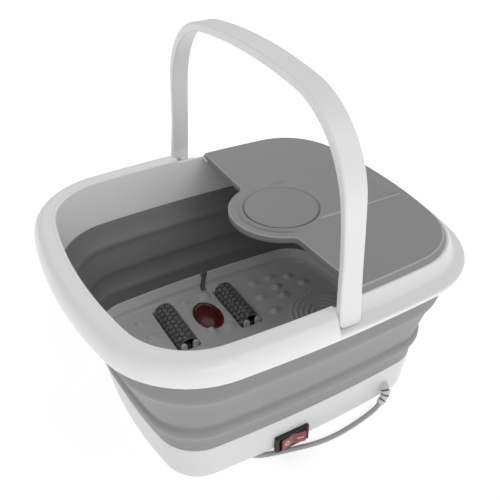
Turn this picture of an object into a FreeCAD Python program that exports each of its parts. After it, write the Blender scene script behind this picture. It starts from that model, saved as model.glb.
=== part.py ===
import FreeCAD, Part
import math
import os

import PartDesign
import Sketcher
from FreeCAD import Placement, Rotation, Vector

# Collapsible foot spa basin, in millimetres.
# Origin: bottom centre, on the surface the basin stands on.
# +X points to the end with the half lid, +Y across the width, +Z up.

doc = FreeCAD.newDocument("foot_spa_basin")
dims = doc.addObject("Spreadsheet::Sheet", "dims")

DIMENSIONS = [
    # plan of the rim: a rounded rectangle whose four sides are all slightly bowed
    ("half_length", 205.0),
    ("half_width", 181.3),
    ("corner_radius", 96.1),
    ("long_side_radius", 1641.0),
    ("short_side_radius", 524.0),
    # heights
    ("floor_gap", 7.2),
    ("shell_bottom", 7.0),
    ("cover_top", 9.7),
    ("base_top", 57.3),
    ("tub_floor_top", 38.0),
    ("floor_thickness", 2.5),
    ("skirt_bottom", 157.0),
    ("rim_bottom", 193.9),
    ("deck_top", 210.8),
    ("lid_bottom", 211.0),
    ("lid_thickness", 4.8),
    # insets from the rim plan
    ("tub_inset", 24.4),
    ("skirt_inset", 20.0),
    ("collar_inset", 17.6),
    ("shell_top_inset", 48.4),
    ("shell_bottom_inset", 51.9),
    ("shell_wall", 1.6),
    ("base_shift", 7.5),
    ("base_length_gain", 8.8),
    ("base_corner_gain", 1.8),
    # handle
    ("pivot_x", 7.6),
    ("pivot_height", 210.0),
    ("pivot_end_radius", 10.3),
    ("handle_centre_height", 201.1),
    ("handle_rise", 202.0),
    ("handle_half_width", 170.1),
    ("handle_corner_radius", 91.2),
    ("handle_side_radius", 1024.0),
    ("handle_top_radius", 604.0),
    ("handle_thick_edge", 7.0),
    ("handle_thin_edge", 2.5),
    ("handle_width", 22.0),
    ("pin_radius", 3.5),
    ("pin_clearance", 0.06),
    # lid
    ("lid_end_inset", 15.5),
    ("lid_side_inset", 26.3),
    ("lid_edge_x", 27.6),
    ("lid_edge_bow_radius", 2732.0),
    ("tongue_x", 44.9),
    ("tongue_radius", 57.0),
    ("groove_radius", 42.4),
    ("disc_radius", 39.6),
    ("band_half_width", 46.0),
    # rollers
    ("roller_left_x", -58.6),
    ("roller_right_x", 27.0),
    ("roller_y", 68.5),
    ("roller_radius", 13.0),
    ("roller_length", 74.0),
    ("roller_bore", 10.0),
    ("axle_radius", 3.4),
    ("axle_length", 82.4),
    ("axle_clearance", 0.05),
    ("well_half_length", 41.4),
    ("well_half_width", 14.3),
    ("well_depth", 14.2),
    # lamp domes
    ("lens_x", -13.5),
    ("lens_y", 69.5),
    ("lens_half_x", 17.4),
    ("lens_half_y", 26.6),
    # works under the floor
    ("heater_length", 50.0),
    ("heater_width", 112.0),
    ("heater_thickness", 3.2),
    ("element_radius", 4.0),
    ("board_length", 92.0),
    ("board_width", 34.0),
    ("board_thickness", 1.6),
    ("foot_radius", 11.0),
    ("screw_head_radius", 3.4),
    ("screw_radius", 1.5),
    # ripple disc
    ("ripple_x", 115.0),
    ("ripple_radius", 43.0),
    # switch
    ("switch_x", -19.0),
    ("switch_height", 20.6),
    ("switch_length", 41.0),
    ("switch_tall", 21.0),
    # cord
    ("cord_diameter", 5.5),
    ("gland_x", 107.0),
    ("gland_height", 28.5),
]
for row, (alias, size) in enumerate(DIMENSIONS, start=1):
    dims.set(f"A{row}", alias.replace("_", " "))
    dims.set(f"B{row}", str(size))
    dims.setAlias(f"B{row}", alias)
doc.recompute()


def size_of(alias):
    return float(dims.get(alias))


NODES = []


def export(thing, label):
    thing.Label = label
    NODES.append(thing)
    return thing


def solid_node(label, shape, spot=Vector(0, 0, 0)):
    """A piece whose form needs Part's own functions; its Placement follows its Shape."""
    thing = doc.addObject("Part::Feature", label)
    thing.Shape = shape
    thing.Placement = Placement(spot, Rotation())
    return export(thing, label)


def box(x0, x1, y0, y1, z0, z1):
    return Part.makeBox(x1 - x0, y1 - y0, z1 - z0, Vector(x0, y0, z0))


def cylinder(radius, height, at, axis=Vector(0, 0, 1)):
    return Part.makeCylinder(radius, height, at, axis)


def first_quarter(long_half, wide_half, corner, side, end):
    """Centre of the corner arc and the two angles where it meets the bowed sides."""
    side_centre = Vector(0, wide_half - side, 0)
    end_centre = Vector(long_half - end, 0, 0)
    reach_side = side - corner
    reach_end = end - corner
    gap = end_centre - side_centre
    along = (reach_side**2 - reach_end**2 + gap.Length**2) / (2 * gap.Length)
    off = math.sqrt(reach_side**2 - along**2)
    unit = gap / gap.Length
    square = Vector(-unit.y, unit.x, 0)
    choices = [side_centre + unit * along + square * off * sign for sign in (1, -1)]
    corner_centre = max(choices, key=lambda point: point.x + point.y)
    to_side = corner_centre - side_centre
    to_end = corner_centre - end_centre
    return corner_centre, math.atan2(to_side.y, to_side.x), math.atan2(to_end.y, to_end.x)


def oval_arcs(long_half, wide_half, corner, side, end):
    """Eight (start, middle, finish) points round a rounded rectangle with bowed sides."""
    centre, side_angle, end_angle = first_quarter(long_half, wide_half, corner, side, end)

    def corner_point(angle, fx, fy):
        x = centre.x + corner * math.cos(angle)
        y = centre.y + corner * math.sin(angle)
        return Vector(fx * x, fy * y, 0)

    mid_angle = (side_angle + end_angle) / 2
    arcs = []
    signs = [(1, 1), (-1, 1), (-1, -1), (1, -1)]
    extremes = [
        Vector(0, wide_half, 0),
        Vector(-long_half, 0, 0),
        Vector(0, -wide_half, 0),
        Vector(long_half, 0, 0),
    ]
    for quarter, (fx, fy) in enumerate(signs):
        first, last = (end_angle, side_angle) if fx * fy > 0 else (side_angle, end_angle)
        next_fx, next_fy = signs[(quarter + 1) % 4]
        finish = corner_point(last, fx, fy)
        arcs.append((corner_point(first, fx, fy), corner_point(mid_angle, fx, fy), finish))
        arcs.append((finish, extremes[quarter], corner_point(last, next_fx, next_fy)))
    return arcs


def oval_wire(arcs, place):
    return Part.Wire([Part.Arc(*[place(point) for point in arc]).toShape() for arc in arcs])


def plan(inset_x, inset_y, corner_inset, centre_x, height):
    """The rim's plan moved inwards and along, as a wire at one height."""
    arcs = oval_arcs(
        size_of("half_length") - inset_x,
        size_of("half_width") - inset_y,
        size_of("corner_radius") - corner_inset,
        size_of("long_side_radius") - inset_y,
        size_of("short_side_radius") - inset_x,
    )
    return oval_wire(arcs, lambda point: Vector(centre_x + point.x, point.y, height))


def rim_plan(inset_x, inset_y, height):
    return plan(inset_x, inset_y, (inset_x + inset_y) / 2, 0.0, height)


def stack(levels):
    """Solid through rim plans given as (inset, height)."""
    return Part.makeLoft([rim_plan(inset, inset, height) for inset, height in levels], True, True)


def wall_plan(inset, height):
    """From the rim's plan at the skirt to the base's longer, offset plan."""
    span = size_of("skirt_bottom") - size_of("base_top")
    share = min(max((size_of("skirt_bottom") - height) / span, 0.0), 1.0)
    inset_x = inset - share * size_of("base_length_gain")
    corner_inset = inset + share * size_of("base_corner_gain")
    return plan(inset_x, inset, corner_inset, share * size_of("base_shift"), height)


def base_plan(inset, height):
    inset_x = inset - size_of("base_length_gain")
    corner_inset = inset + size_of("base_corner_gain")
    return plan(inset_x, inset, corner_inset, size_of("base_shift"), height)


def base_stack(levels):
    return Part.makeLoft([base_plan(inset, height) for inset, height in levels], True, True)


def wide_box(z0, z1, x0=-300.0, x1=300.0):
    return box(x0, x1, -300, 300, z0, z1)


# ---------------------------------------------------------------- rim
skirt_bottom = size_of("skirt_bottom")
rim_bottom = size_of("rim_bottom")
tub_inset = size_of("tub_inset")
skirt_inset = size_of("skirt_inset")
deck_top = size_of("deck_top")
pivot_x = size_of("pivot_x")
pivot_height = size_of("pivot_height")
band_end_x = pivot_x - size_of("pivot_end_radius") - 0.5

band_outside = [
    (1.2, rim_bottom),
    (0.3, rim_bottom + 1.0),
    (0.0, 198.0),
    (0.8, 203.6),
    (3.0, 209.2),
    (5.4, 212.4),
    (8.4, 214.4),
    (12.3, 215.2),
    (20.8, 214.8),
    (21.4, 214.0),
    (32.0, 213.8),
]
band_hollow = [(3.9, rim_bottom - 1), (3.3, 200.0), (5.0, 207.5), (9.5, 212.2), (14.0, 212.4)]
shoulder_outside = [
    (1.2, 1.2, rim_bottom),
    (0.3, 0.3, rim_bottom + 1.0),
    (0.0, 0.0, 197.0),
    (0.5, 0.8, 198.8),
    (1.2, 2.6, 199.6),
    (2.2, 5.0, 198.8),
    (5.9, 15.2, 198.3),
    (13.0, 24.6, deck_top),
]
shoulder_hollow = [(3.0, 3.9, rim_bottom - 1), (2.6, 3.3, 195.8), (3.4, 4.2, 196.4)]
band_core = stack([(17.0, 150.0), (17.0, 230.0)])
band = stack(band_outside).cut(stack(band_hollow).cut(band_core))
band = band.common(wide_box(150, 230, -300, band_end_x))
shoulder_solid = Part.makeLoft([rim_plan(*level) for level in shoulder_outside], True, True)
shoulder_inside = Part.makeLoft([rim_plan(*level) for level in shoulder_hollow], True, True)
shoulder = shoulder_solid.cut(shoulder_inside.cut(band_core))
shoulder = shoulder.common(wide_box(150, 230, band_end_x, 300))
inner_skirt = stack([(skirt_inset, skirt_bottom), (skirt_inset, 203.0)])
rim = band.fuse([shoulder, inner_skirt])
ledge_x = 30.5
ledge_bottom = deck_top - 2.5
skirt_draft = 2.4
rim = rim.cut(stack([(tub_inset - skirt_draft, skirt_bottom - 1), (tub_inset, ledge_bottom)]))
open_half = stack([(tub_inset, ledge_bottom - 1), (tub_inset, 230.0)])
rim = rim.cut(open_half.common(wide_box(150, 240, -300, ledge_x)))
lid_opening = Part.makeLoft([rim_plan(29.0, 36.0, z) for z in (ledge_bottom - 1, 230.0)], True, True)
rim = rim.cut(lid_opening)
half_width = size_of("half_width")
pocket_back = half_width - 18.7
pin_radius = size_of("pin_radius")
for side in (-1, 1):
    near, far = sorted((side * pocket_back, side * 200))
    rim = rim.cut(box(band_end_x, pivot_x + 12.5, near, far, 198.6, 230))
    corner = Part.makePolygon(
        [
            Vector(band_end_x, side * 190, 206),
            Vector(band_end_x, side * 190, 218),
            Vector(band_end_x - 4.5, side * 190, 218),
            Vector(band_end_x, side * 190, 206),
        ]
    )
    wedge = Part.Face(corner).extrude(Vector(0, -side * 15, 0))
    rim = rim.cut(wedge)
    rim = rim.cut(cylinder(pin_radius, 10, Vector(pivot_x, side * 158.8, pivot_height), Vector(0, side, 0)))
solid_node("rim_frame", rim.removeSplitter())

collar_outer = stack([(size_of("collar_inset"), skirt_bottom), (size_of("collar_inset"), 192.0)])
collar = collar_outer.cut(stack([(skirt_inset, skirt_bottom - 1), (skirt_inset, 193.0)]))
solid_node("wall_collar", collar)

# ---------------------------------------------------------------- folding wall
base_top = size_of("base_top")
wall_outside = [
    (48.4, base_top),
    (47.4, 63.0),
    (45.9, 71.0),
    (43.2, 79.5),
    (39.4, 85.0),
    (38.2, 90.0),
    (38.6, 95.0),
    (40.4, 99.5),
    (37.8, 107.0),
    (33.2, 120.0),
    (28.8, 133.0),
    (23.2, 147.0),
    (17.6, skirt_bottom),
]
wall_inside = [
    (52.2, base_top),
    (51.2, 62.0),
    (50.6, 67.0),
    (48.8, 73.5),
    (47.0, 79.0),
    (42.8, 84.6),
    (41.2, 90.0),
    (41.8, 95.0),
    (43.8, 100.5),
    (41.0, 107.5),
    (36.6, 120.0),
    (32.4, 133.0),
    (27.4, 146.0),
    (22.0, skirt_bottom),
]
wall = Part.makeLoft([wall_plan(*level) for level in wall_outside], True, True)
wall = wall.cut(Part.makeLoft([wall_plan(*level) for level in wall_inside], True, True))
solid_node("collapsible_wall", wall)

# ---------------------------------------------------------------- base
floor_top = size_of("tub_floor_top")
floor_under = floor_top - size_of("floor_thickness")
cover_top = size_of("cover_top")
top_inset = size_of("shell_top_inset")
low_inset = size_of("shell_bottom_inset")
liner_inset = top_inset + size_of("shell_wall")
liner_low_inset = liner_inset + 2.0
shell_bottom = size_of("shell_bottom")
SCREW_SPOTS = [(x, y) for y in (-113.0, 113.0) for x in (-75.0, 24.0, 80.0)] + [(-141.0, 0.0), (156.0, 0.0)]

shell = base_stack(
    [
        (60.0, shell_bottom),
        (56.9, shell_bottom + 0.6),
        (54.2, shell_bottom + 2.4),
        (52.5, shell_bottom + 5.2),
        (low_inset, shell_bottom + 9.0),
        (top_inset, base_top),
    ]
)
shell = shell.cut(
    base_stack(
        [
            (low_inset + 3.4, cover_top + 2.5),
            (liner_low_inset, floor_under),
            (liner_inset, base_top),
            (liner_inset, 60.0),
        ]
    )
)
shell = shell.cut(base_stack([(68.0, 5.0), (68.0, cover_top + 3.0)]))
shell = shell.cut(base_stack([(60.5, 5.0), (60.5, cover_top)]))
for spot_x, spot_y in SCREW_SPOTS:
    shell = shell.fuse(cylinder(4.6, 12.0, Vector(spot_x, spot_y, cover_top)))
for spot_x, spot_y in SCREW_SPOTS:
    shell = shell.cut(cylinder(1.5, 11.0, Vector(spot_x, spot_y, cover_top)))
switch_x = size_of("switch_x")
switch_z = size_of("switch_height")
wall_y = half_width - low_inset
switch_half = size_of("switch_length") / 2
switch_rise = size_of("switch_tall") / 2
face_y = -(wall_y + 0.2)
switch_low = switch_z - switch_rise
switch_high = switch_z + switch_rise
bezel_depth = 5.4
bezel_front = face_y - bezel_depth
switch_left = switch_x - switch_half
switch_right = switch_x + switch_half
bezel_block = box(switch_left, switch_right, bezel_front, face_y, switch_low, switch_high)
shell = shell.cut(bezel_block)
shell = shell.cut(box(switch_x - 17, switch_x + 17, face_y - 2, face_y + 8, switch_z - 8.5, switch_z + 8.5))
gland_x = size_of("gland_x")
gland_z = size_of("gland_height")
gland_hole = cylinder(4.7, 20.0, Vector(gland_x, -wall_y - 10, gland_z), Vector(0, 1, 0))
shell = shell.cut(gland_hole)
solid_node("base_shell", shell.removeSplitter())

well_half_length = size_of("well_half_length")
well_half_width = size_of("well_half_width")
well_floor = floor_top - size_of("well_depth")
roller_y = size_of("roller_y")
roller_centres = [
    (x, side * roller_y) for x in (size_of("roller_left_x"), size_of("roller_right_x")) for side in (1, -1)
]
lens_centres = [(size_of("lens_x"), side * size_of("lens_y")) for side in (1, -1)]
axle_radius = size_of("axle_radius")
fork_gap = 1.2
fork_thickness = 3.2
fork_half = 11.4
prong_radius = 3.8
prong_offset = fork_half - prong_radius
prong_height = 4.6
roller_half = size_of("roller_length") / 2


def ellipse_wire(half_x, half_y, height, centre_x=0.0, centre_y=0.0):
    """Ellipse longer in Y than in X."""
    curve = Part.Ellipse(
        Vector(centre_x, centre_y + half_y, height),
        Vector(centre_x - half_x, centre_y, height),
        Vector(centre_x, centre_y, height),
    )
    return Part.Wire([curve.toShape()])


def ellipse_block(half_x, half_y, z0, z1, centre):
    face = Part.Face(ellipse_wire(half_x, half_y, z0, *centre))
    return face.extrude(Vector(0, 0, z1 - z0))


tub = base_stack([(liner_low_inset, floor_under), (liner_inset, base_top)])
tub = tub.cut(base_stack([(60.0, floor_top), (56.8, 40.8), (54.9, 46.0), (52.2, base_top), (52.0, 60.0)]))
well_wall = 2.0
for x, y in roller_centres:
    outer_x = well_half_width + well_wall
    outer_y = well_half_length + well_wall
    tub = tub.fuse(box(x - outer_x, x + outer_x, y - outer_y, y + outer_y, well_floor - well_wall, floor_top))
for x, y in roller_centres:
    reach_x = well_half_width
    reach_y = well_half_length
    tub = tub.cut(box(x - reach_x, x + reach_x, y - reach_y, y + reach_y, well_floor, 46))
    for end in (-1, 1):
        inner = y + end * (roller_half + fork_gap)
        outer = inner + end * fork_thickness
        low, high = sorted((inner, outer))
        fork = box(x - fork_half, x + fork_half, low, high, well_floor, floor_top)
        for prong_x in (x - prong_offset, x + prong_offset):
            prong_top = floor_top + prong_height
            prong = box(prong_x - prong_radius, prong_x + prong_radius, low, high, floor_top - 1, prong_top)
            crown = cylinder(prong_radius, fork_thickness, Vector(prong_x, low, prong_top), Vector(0, 1, 0))
            fork = fork.fuse([prong, crown])
        bore = axle_radius + size_of("axle_clearance")
        fork = fork.cut(cylinder(bore, fork_thickness, Vector(x, low, floor_top), Vector(0, 1, 0)))
        tub = tub.fuse(fork)
lens_half_x = size_of("lens_half_x")
lens_half_y = size_of("lens_half_y")
for centre in lens_centres:
    tub = tub.cut(ellipse_block(lens_half_x + 0.2, lens_half_y + 0.2, 30, 50, centre))
BUMPS = [
    (-118, 80),
    (-95, 96),
    (-92, 67),
    (-120, 46),
    (-96, 32),
    (-30, 106),
    (-24, 38),
    (1, 38),
    (68, 97),
    (93, 97),
    (116, 87),
    (127, 65),
    (91, 75),
    (63, 67),
    (90, 56),
    (64, 35),
]
bump_radius = 6.8
for x, y in BUMPS:
    for side in (1, -1):
        ball = Part.makeSphere(bump_radius, Vector(x, side * y, floor_top - 3.6))
        tub = tub.fuse(ball.common(box(x - 9, x + 9, side * y - 9, side * y + 9, floor_top - 1, 60)))
slot_half = 3.4
slot_x = 9.8
sensor_spot = (0.6, 111.0)
tub = tub.cut(box(slot_x - slot_half, slot_x + slot_half, 120, 160, floor_top + 0.8, base_top + 2))
tub = tub.cut(cylinder(3.4, 10.0, Vector(size_of("ripple_x"), 0, 30)))
tub = tub.cut(cylinder(2.5, 20.0, Vector(*sensor_spot, 30)))
solid_node("tub_floor", tub.removeSplitter())

slot_face = half_width - liner_low_inset - 0.1
vent_low = floor_top + 0.8
vent_high = base_top - 0.6
vent = box(slot_x - slot_half, slot_x + slot_half, slot_face - 1.4, slot_face, vent_low, vent_high)
for step in range(4):
    z = floor_top + 5.5 + 3.2 * step
    louvre = box(slot_x - 2.4, slot_x + 2.4, slot_face - 1.6, slot_face - 0.6, z, z + 1.4)
    vent = vent.cut(louvre)
solid_node("vent_insert", vent)

sensor = doc.addObject("Part::Fuse", "sensor_build")
sensor_stem = doc.addObject("Part::Cylinder", "sensor_stem")
sensor_stem.Radius = 2.5
sensor_stem.Height = 8.0
sensor_stem.Placement = Placement(Vector(*sensor_spot, 30.5), Rotation())
sensor_dome = doc.addObject("Part::Sphere", "sensor_dome")
sensor_dome.Radius = 4.4
sensor_dome.Angle1 = 0
sensor_dome.Placement = Placement(Vector(*sensor_spot, floor_top), Rotation())
sensor.Base = sensor_stem
sensor.Tool = sensor_dome
export(sensor, "sensor_cap")

floor_gap = size_of("floor_gap")
cover = base_stack([(61.0, floor_gap), (61.0, cover_top)])
for spot_x, spot_y in SCREW_SPOTS:
    cover = cover.cut(cylinder(1.8, 8.0, Vector(spot_x, spot_y, 4)))
    cover = cover.cut(cylinder(3.6, 1.0, Vector(spot_x, spot_y, floor_gap)))
for step in range(6):
    x = 76.0 + 8.0 * step
    cover = cover.cut(box(x, x + 4, -92, -62, 5, 12))
solid_node("bottom_cover", cover)


# ---------------------------------------------------------------- small bodies drawn as sketches
def new_body(name):
    return doc.addObject("PartDesign::Body", name)


def plane_of(body, role):
    return [item for item in body.Origin.OriginFeatures if item.Role == role][0]


def new_sketch(body, name, role, offset=0.0):
    sketch = body.newObject("Sketcher::SketchObject", name)
    sketch.AttachmentSupport = [(plane_of(body, role), "")]
    sketch.MapMode = "FlatFace"
    sketch.AttachmentOffset = Placement(Vector(0, 0, offset), Rotation())
    return sketch


def from_sheet(term):
    """A plain number, or (alias, factor, addition) for a size taken from the sheet."""
    if isinstance(term, tuple):
        alias, factor, addition = term
        return size_of(alias) * factor + addition
    return term


def bind(thing, path, term):
    """Ties one property or sketch constraint to the sheet, if the size comes from there."""
    if isinstance(term, tuple):
        alias, factor, addition = term
        thing.setExpression(path, f"dims.{alias} * {factor} + {addition}")


def closed_profile(sketch, corners):
    """Straight-sided closed outline, each corner held by its distances from the two axes."""
    points = [Vector(from_sheet(across), from_sheet(up), 0) for across, up in corners]
    count = len(points)
    for first, second in zip(points, points[1:] + points[:1]):
        sketch.addGeometry(Part.LineSegment(first, second), False)
    for line in range(count):
        sketch.addConstraint(Sketcher.Constraint("Coincident", line, 2, (line + 1) % count, 1))
    for line, (corner, point) in enumerate(zip(corners, points)):
        held = [("DistanceX", -2, corner[0], point.x), ("DistanceY", -1, corner[1], point.y)]
        for kind, axis, term, reach in held:
            if abs(reach) < 1e-6:
                sketch.addConstraint(Sketcher.Constraint("PointOnObject", line, 1, axis))
            else:
                number = sketch.addConstraint(Sketcher.Constraint(kind, -1, 1, line, 1, reach))
                bind(sketch, f"Constraints[{number}]", term)


def turned_body(name, corners):
    """Body turned about +Z from a half profile of (radius, height) points."""
    body = new_body(name)
    sketch = new_sketch(body, name + "_profile", "XZ_Plane")
    closed_profile(sketch, corners)
    turn = body.newObject("PartDesign::Revolution", name + "_turn")
    turn.Profile = sketch
    turn.ReferenceAxis = (sketch, ["V_Axis"])
    turn.Angle = 360.0
    return body


def copies(label, source, spots):
    """One node holding separate solids: the same body at each spot."""
    doc.recompute()
    moved = []
    for spot in spots:
        solid = source.Shape.copy()
        solid.translate(Vector(*spot))
        moved.append(solid)
    return solid_node(label, Part.makeCompound(moved))


# feet and screws
foot_side = ("foot_radius", 1, 0)
foot_sole = ("foot_radius", 1, -0.8)
foot_neck = ("foot_radius", 1, -0.6)
foot_profile = [(0, 0), (foot_sole, 0), (foot_side, 0.8), (foot_neck, 7.2), (0, 7.2)]
foot_body = turned_body("foot_template", foot_profile)
FOOT_SPOTS = [(size_of("base_shift") + x, y, 0) for x in (-124, 124) for y in (-66, 66)]
copies("rubber_feet", foot_body, FOOT_SPOTS)
screw_head = ("screw_head_radius", 1, 0)
screw_side = ("screw_radius", 1, 0)
screw_profile = [(0, 0), (screw_head, 0), (screw_head, 1.0), (screw_side, 1.0), (screw_side, 11.5), (0, 12.4)]
screw_body = turned_body("screw_template", screw_profile)
copies("cover_screws", screw_body, [(x, y, floor_gap) for x, y in SCREW_SPOTS])

# rollers: a studded sleeve, hollow at both ends, on a plain axle, drawn along +Z and laid along +Y
axle_side = ("axle_radius", 1, 0)
bore_side = ("roller_bore", 1, 0)
sleeve_side = ("roller_radius", 1, 0)
sleeve_corner = ("roller_radius", 1, -0.8)


def roller_end(sign):
    """Half profile of one end of a roller, from the axle's tip to the sleeve."""
    end = ("roller_length", 0.5 * sign, 0)
    inside = ("roller_length", 0.5 * sign, -11 * sign)
    bevel = ("roller_length", 0.5 * sign, -0.8 * sign)
    tip = ("axle_length", 0.5 * sign, 0)
    tube = [(bore_side, inside), (bore_side, end), (sleeve_corner, end), (sleeve_side, bevel)]
    return [(0, tip), (axle_side, tip), (axle_side, inside)] + tube


roller_profile = roller_end(-1) + roller_end(1)[::-1]
ROLLER_NAMES = ["roller_far_left", "roller_near_left", "roller_far_right", "roller_near_right"]
for name, (x, y) in zip(ROLLER_NAMES, roller_centres):
    roller = turned_body(name + "_body", roller_profile)
    roller.Placement = Placement(Vector(x, y, floor_top), Rotation(Vector(1, 0, 0), 90))
    column = "roller_left_x" if "left" in name else "roller_right_x"
    bind(roller, ".Placement.Base.x", (column, 1, 0))
    bind(roller, ".Placement.Base.y", ("roller_y", 1 if "far" in name else -1, 0))
    bind(roller, ".Placement.Base.z", ("tub_floor_top", 1, 0))
    export(roller, name)

# ---------------------------------------------------------------- handle
rise = size_of("handle_rise")
reach = size_of("handle_half_width")
arch_z = size_of("handle_centre_height")
end_radius = size_of("pivot_end_radius")
half_handle = size_of("handle_width") / 2


def arch_wire(inset, x):
    """Plan of the handle stood upright: its length runs up, its width across."""
    arcs = oval_arcs(
        rise - inset,
        reach - inset,
        size_of("handle_corner_radius") - inset,
        size_of("handle_side_radius") - inset,
        size_of("handle_top_radius") - inset,
    )
    return oval_wire(arcs, lambda point: Vector(x, point.y, arch_z + point.x))


back_x = pivot_x - half_handle
front_x = pivot_x + half_handle
thick = size_of("handle_thick_edge")
thin = size_of("handle_thin_edge")
outer_levels = [(1.2, back_x), (0, back_x + 1.2), (0, front_x - 1.0), (0.8, front_x)]
arch = Part.makeLoft([arch_wire(*level) for level in outer_levels], True, True)
slope_inset = (thick - thin) / (2 * half_handle)
inner_levels = [(thick + slope_inset, back_x - 1), (thin - slope_inset, front_x + 1)]
arch = arch.cut(Part.makeLoft([arch_wire(*level) for level in inner_levels], True, True))
taper_top = pivot_height + 95.0
side_view = [
    Vector(pivot_x - end_radius, -200, pivot_height),
    Vector(pivot_x - half_handle, -200, taper_top),
    Vector(pivot_x - half_handle, -200, 420),
    Vector(pivot_x + half_handle, -200, 420),
    Vector(pivot_x + half_handle, -200, taper_top),
    Vector(pivot_x + end_radius, -200, pivot_height),
]
side_panel = Part.Face(Part.makePolygon(side_view + side_view[:1])).extrude(Vector(0, 400, 0))
arch = arch.common(side_panel)
ear_depth = thick
pin_y = reach - ear_depth
for side in (-1, 1):
    ear = cylinder(end_radius, ear_depth, Vector(pivot_x, side * pin_y, pivot_height), Vector(0, side, 0))
    arch = arch.fuse(ear)
for side in (-1, 1):
    start = Vector(pivot_x, side * (pin_y - 1), pivot_height)
    arch = arch.cut(cylinder(pin_radius + size_of("pin_clearance"), 6.0, start, Vector(0, side, 0)))
solid_node("handle", arch.removeSplitter())

pin_template = doc.addObject("Part::Cylinder", "pin_template")
bind(pin_template, "Radius", ("pin_radius", 1, 0))
pin_template.Height = 7.9
pin_template.Placement = Placement(Vector(0, 0, 0), Rotation(Vector(1, 0, 0), -90))
doc.recompute()
pin_starts = [(pivot_x, 158.8, pivot_height), (pivot_x, -158.8 - 7.9, pivot_height)]
copies("handle_pins", pin_template, pin_starts)

# ---------------------------------------------------------------- lid
lid_bottom = size_of("lid_bottom")
lid_top = lid_bottom + size_of("lid_thickness")
lid_x = size_of("lid_end_inset")
lid_y = size_of("lid_side_inset")
bow = size_of("lid_edge_bow_radius")
tongue_x = size_of("tongue_x")
tongue_radius = size_of("tongue_radius")


def lid_blank(edge_in, z0, z1, rim_in, rim_top_in):
    """One layer of the lid: its free edge moved in by edge_in, its outer edge sloped inwards."""
    levels = ((rim_in, z0), (rim_top_in, z1))
    plan = Part.makeLoft([rim_plan(lid_x + grow, lid_y + grow, z) for grow, z in levels], True, True)
    edge = cylinder(bow - edge_in, z1 - z0, Vector(size_of("lid_edge_x") + bow, 0, z0))
    tongue = cylinder(tongue_radius - edge_in, z1 - z0, Vector(tongue_x, 0, z0))
    return plan.common(edge).fuse(tongue.common(plan)).removeSplitter()


lid = lid_blank(0.0, lid_bottom, lid_top - 1.0, 0.0, 3.6)
lid = lid.fuse(lid_blank(0.5, lid_top - 1.0, lid_top - 0.4, 3.7, 4.4))
lid = lid.fuse(lid_blank(1.3, lid_top - 0.4, lid_top, 4.8, 5.4))
lid = lid.fuse(lid_blank(9.0, lid_top, lid_top + 0.6, 11.0, 11.0))
front_lip = lid_blank(0.0, lid_bottom - 2.2, lid_bottom, 0.0, 0.0)
front_lip = front_lip.cut(lid_blank(2.0, lid_bottom - 3.2, lid_bottom + 1.0, 0.0, 0.0))
lid = lid.fuse(front_lip.common(box(-50, tongue_x + 10, -143, 143, 200, lid_bottom)))
lid_top = lid_top + 0.6
band_half = size_of("band_half_width")
band_x1 = size_of("half_length") - lid_x - 9


def raised_outline(shrink, z):
    """The middle band of the lid, a little narrower at its outer end."""
    wide = band_half - shrink
    far_x = band_x1 - shrink
    corners = [(tongue_x, -wide), (far_x, 8 - wide), (far_x, wide - 8), (tongue_x, wide)]
    points = [Vector(x, y, z) for x, y in corners]
    return Part.makePolygon(points + points[:1])


raised = Part.makeLoft([raised_outline(0, lid_top - 1), raised_outline(2, lid_top + 1.0)], True, True)
groove_radius = size_of("groove_radius")
lid = lid.fuse(raised.cut(cylinder(groove_radius + 3, 10, Vector(tongue_x, 0, lid_top - 4))))
ring_cut = cylinder(groove_radius, 3.0, Vector(tongue_x, 0, lid_top - 1.3))
lid = lid.cut(ring_cut)
lip_outer = Part.makeLoft([rim_plan(32.5, 37.5, z) for z in (lid_bottom - 2.4, lid_bottom)], True, True)
lip_inner = Part.makeLoft([rim_plan(34.5, 39.5, z) for z in (lid_bottom - 3, lid_bottom + 1)], True, True)
lip = lip_outer.cut(lip_inner).common(wide_box(200, lid_bottom, ledge_x + 6, 300))
lid = lid.fuse(lip)
PAD_SPOTS = [(41, 149), (41, -149), (128, 141.5), (128, -141.5), (182.5, 0)]
for spot_x, spot_y in PAD_SPOTS:
    lid = lid.cut(cylinder(3.2, 1.2, Vector(spot_x, spot_y, lid_bottom)))
solid_node("lid_panel", lid.removeSplitter())
pad_body = turned_body("pad_template", [(0, 0), (3.0, 0), (3.2, 0.2), (3.2, 1.2), (0, 1.2)])
copies("lid_pads", pad_body, [(x, y, lid_bottom) for x, y in PAD_SPOTS])
disc_side = ("disc_radius", 1, 0)
disc_profile = [(0, 0), (disc_side, 0), (disc_side, 1.6), (("disc_radius", 1, -0.7), 2.2), (0, 2.5)]
disc = turned_body("disc_body", disc_profile)
disc.Placement = Placement(Vector(tongue_x, 0, lid_top - 1.3), Rotation())
bind(disc, ".Placement.Base.x", ("tongue_x", 1, 0))
export(disc, "lid_disc")

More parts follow.
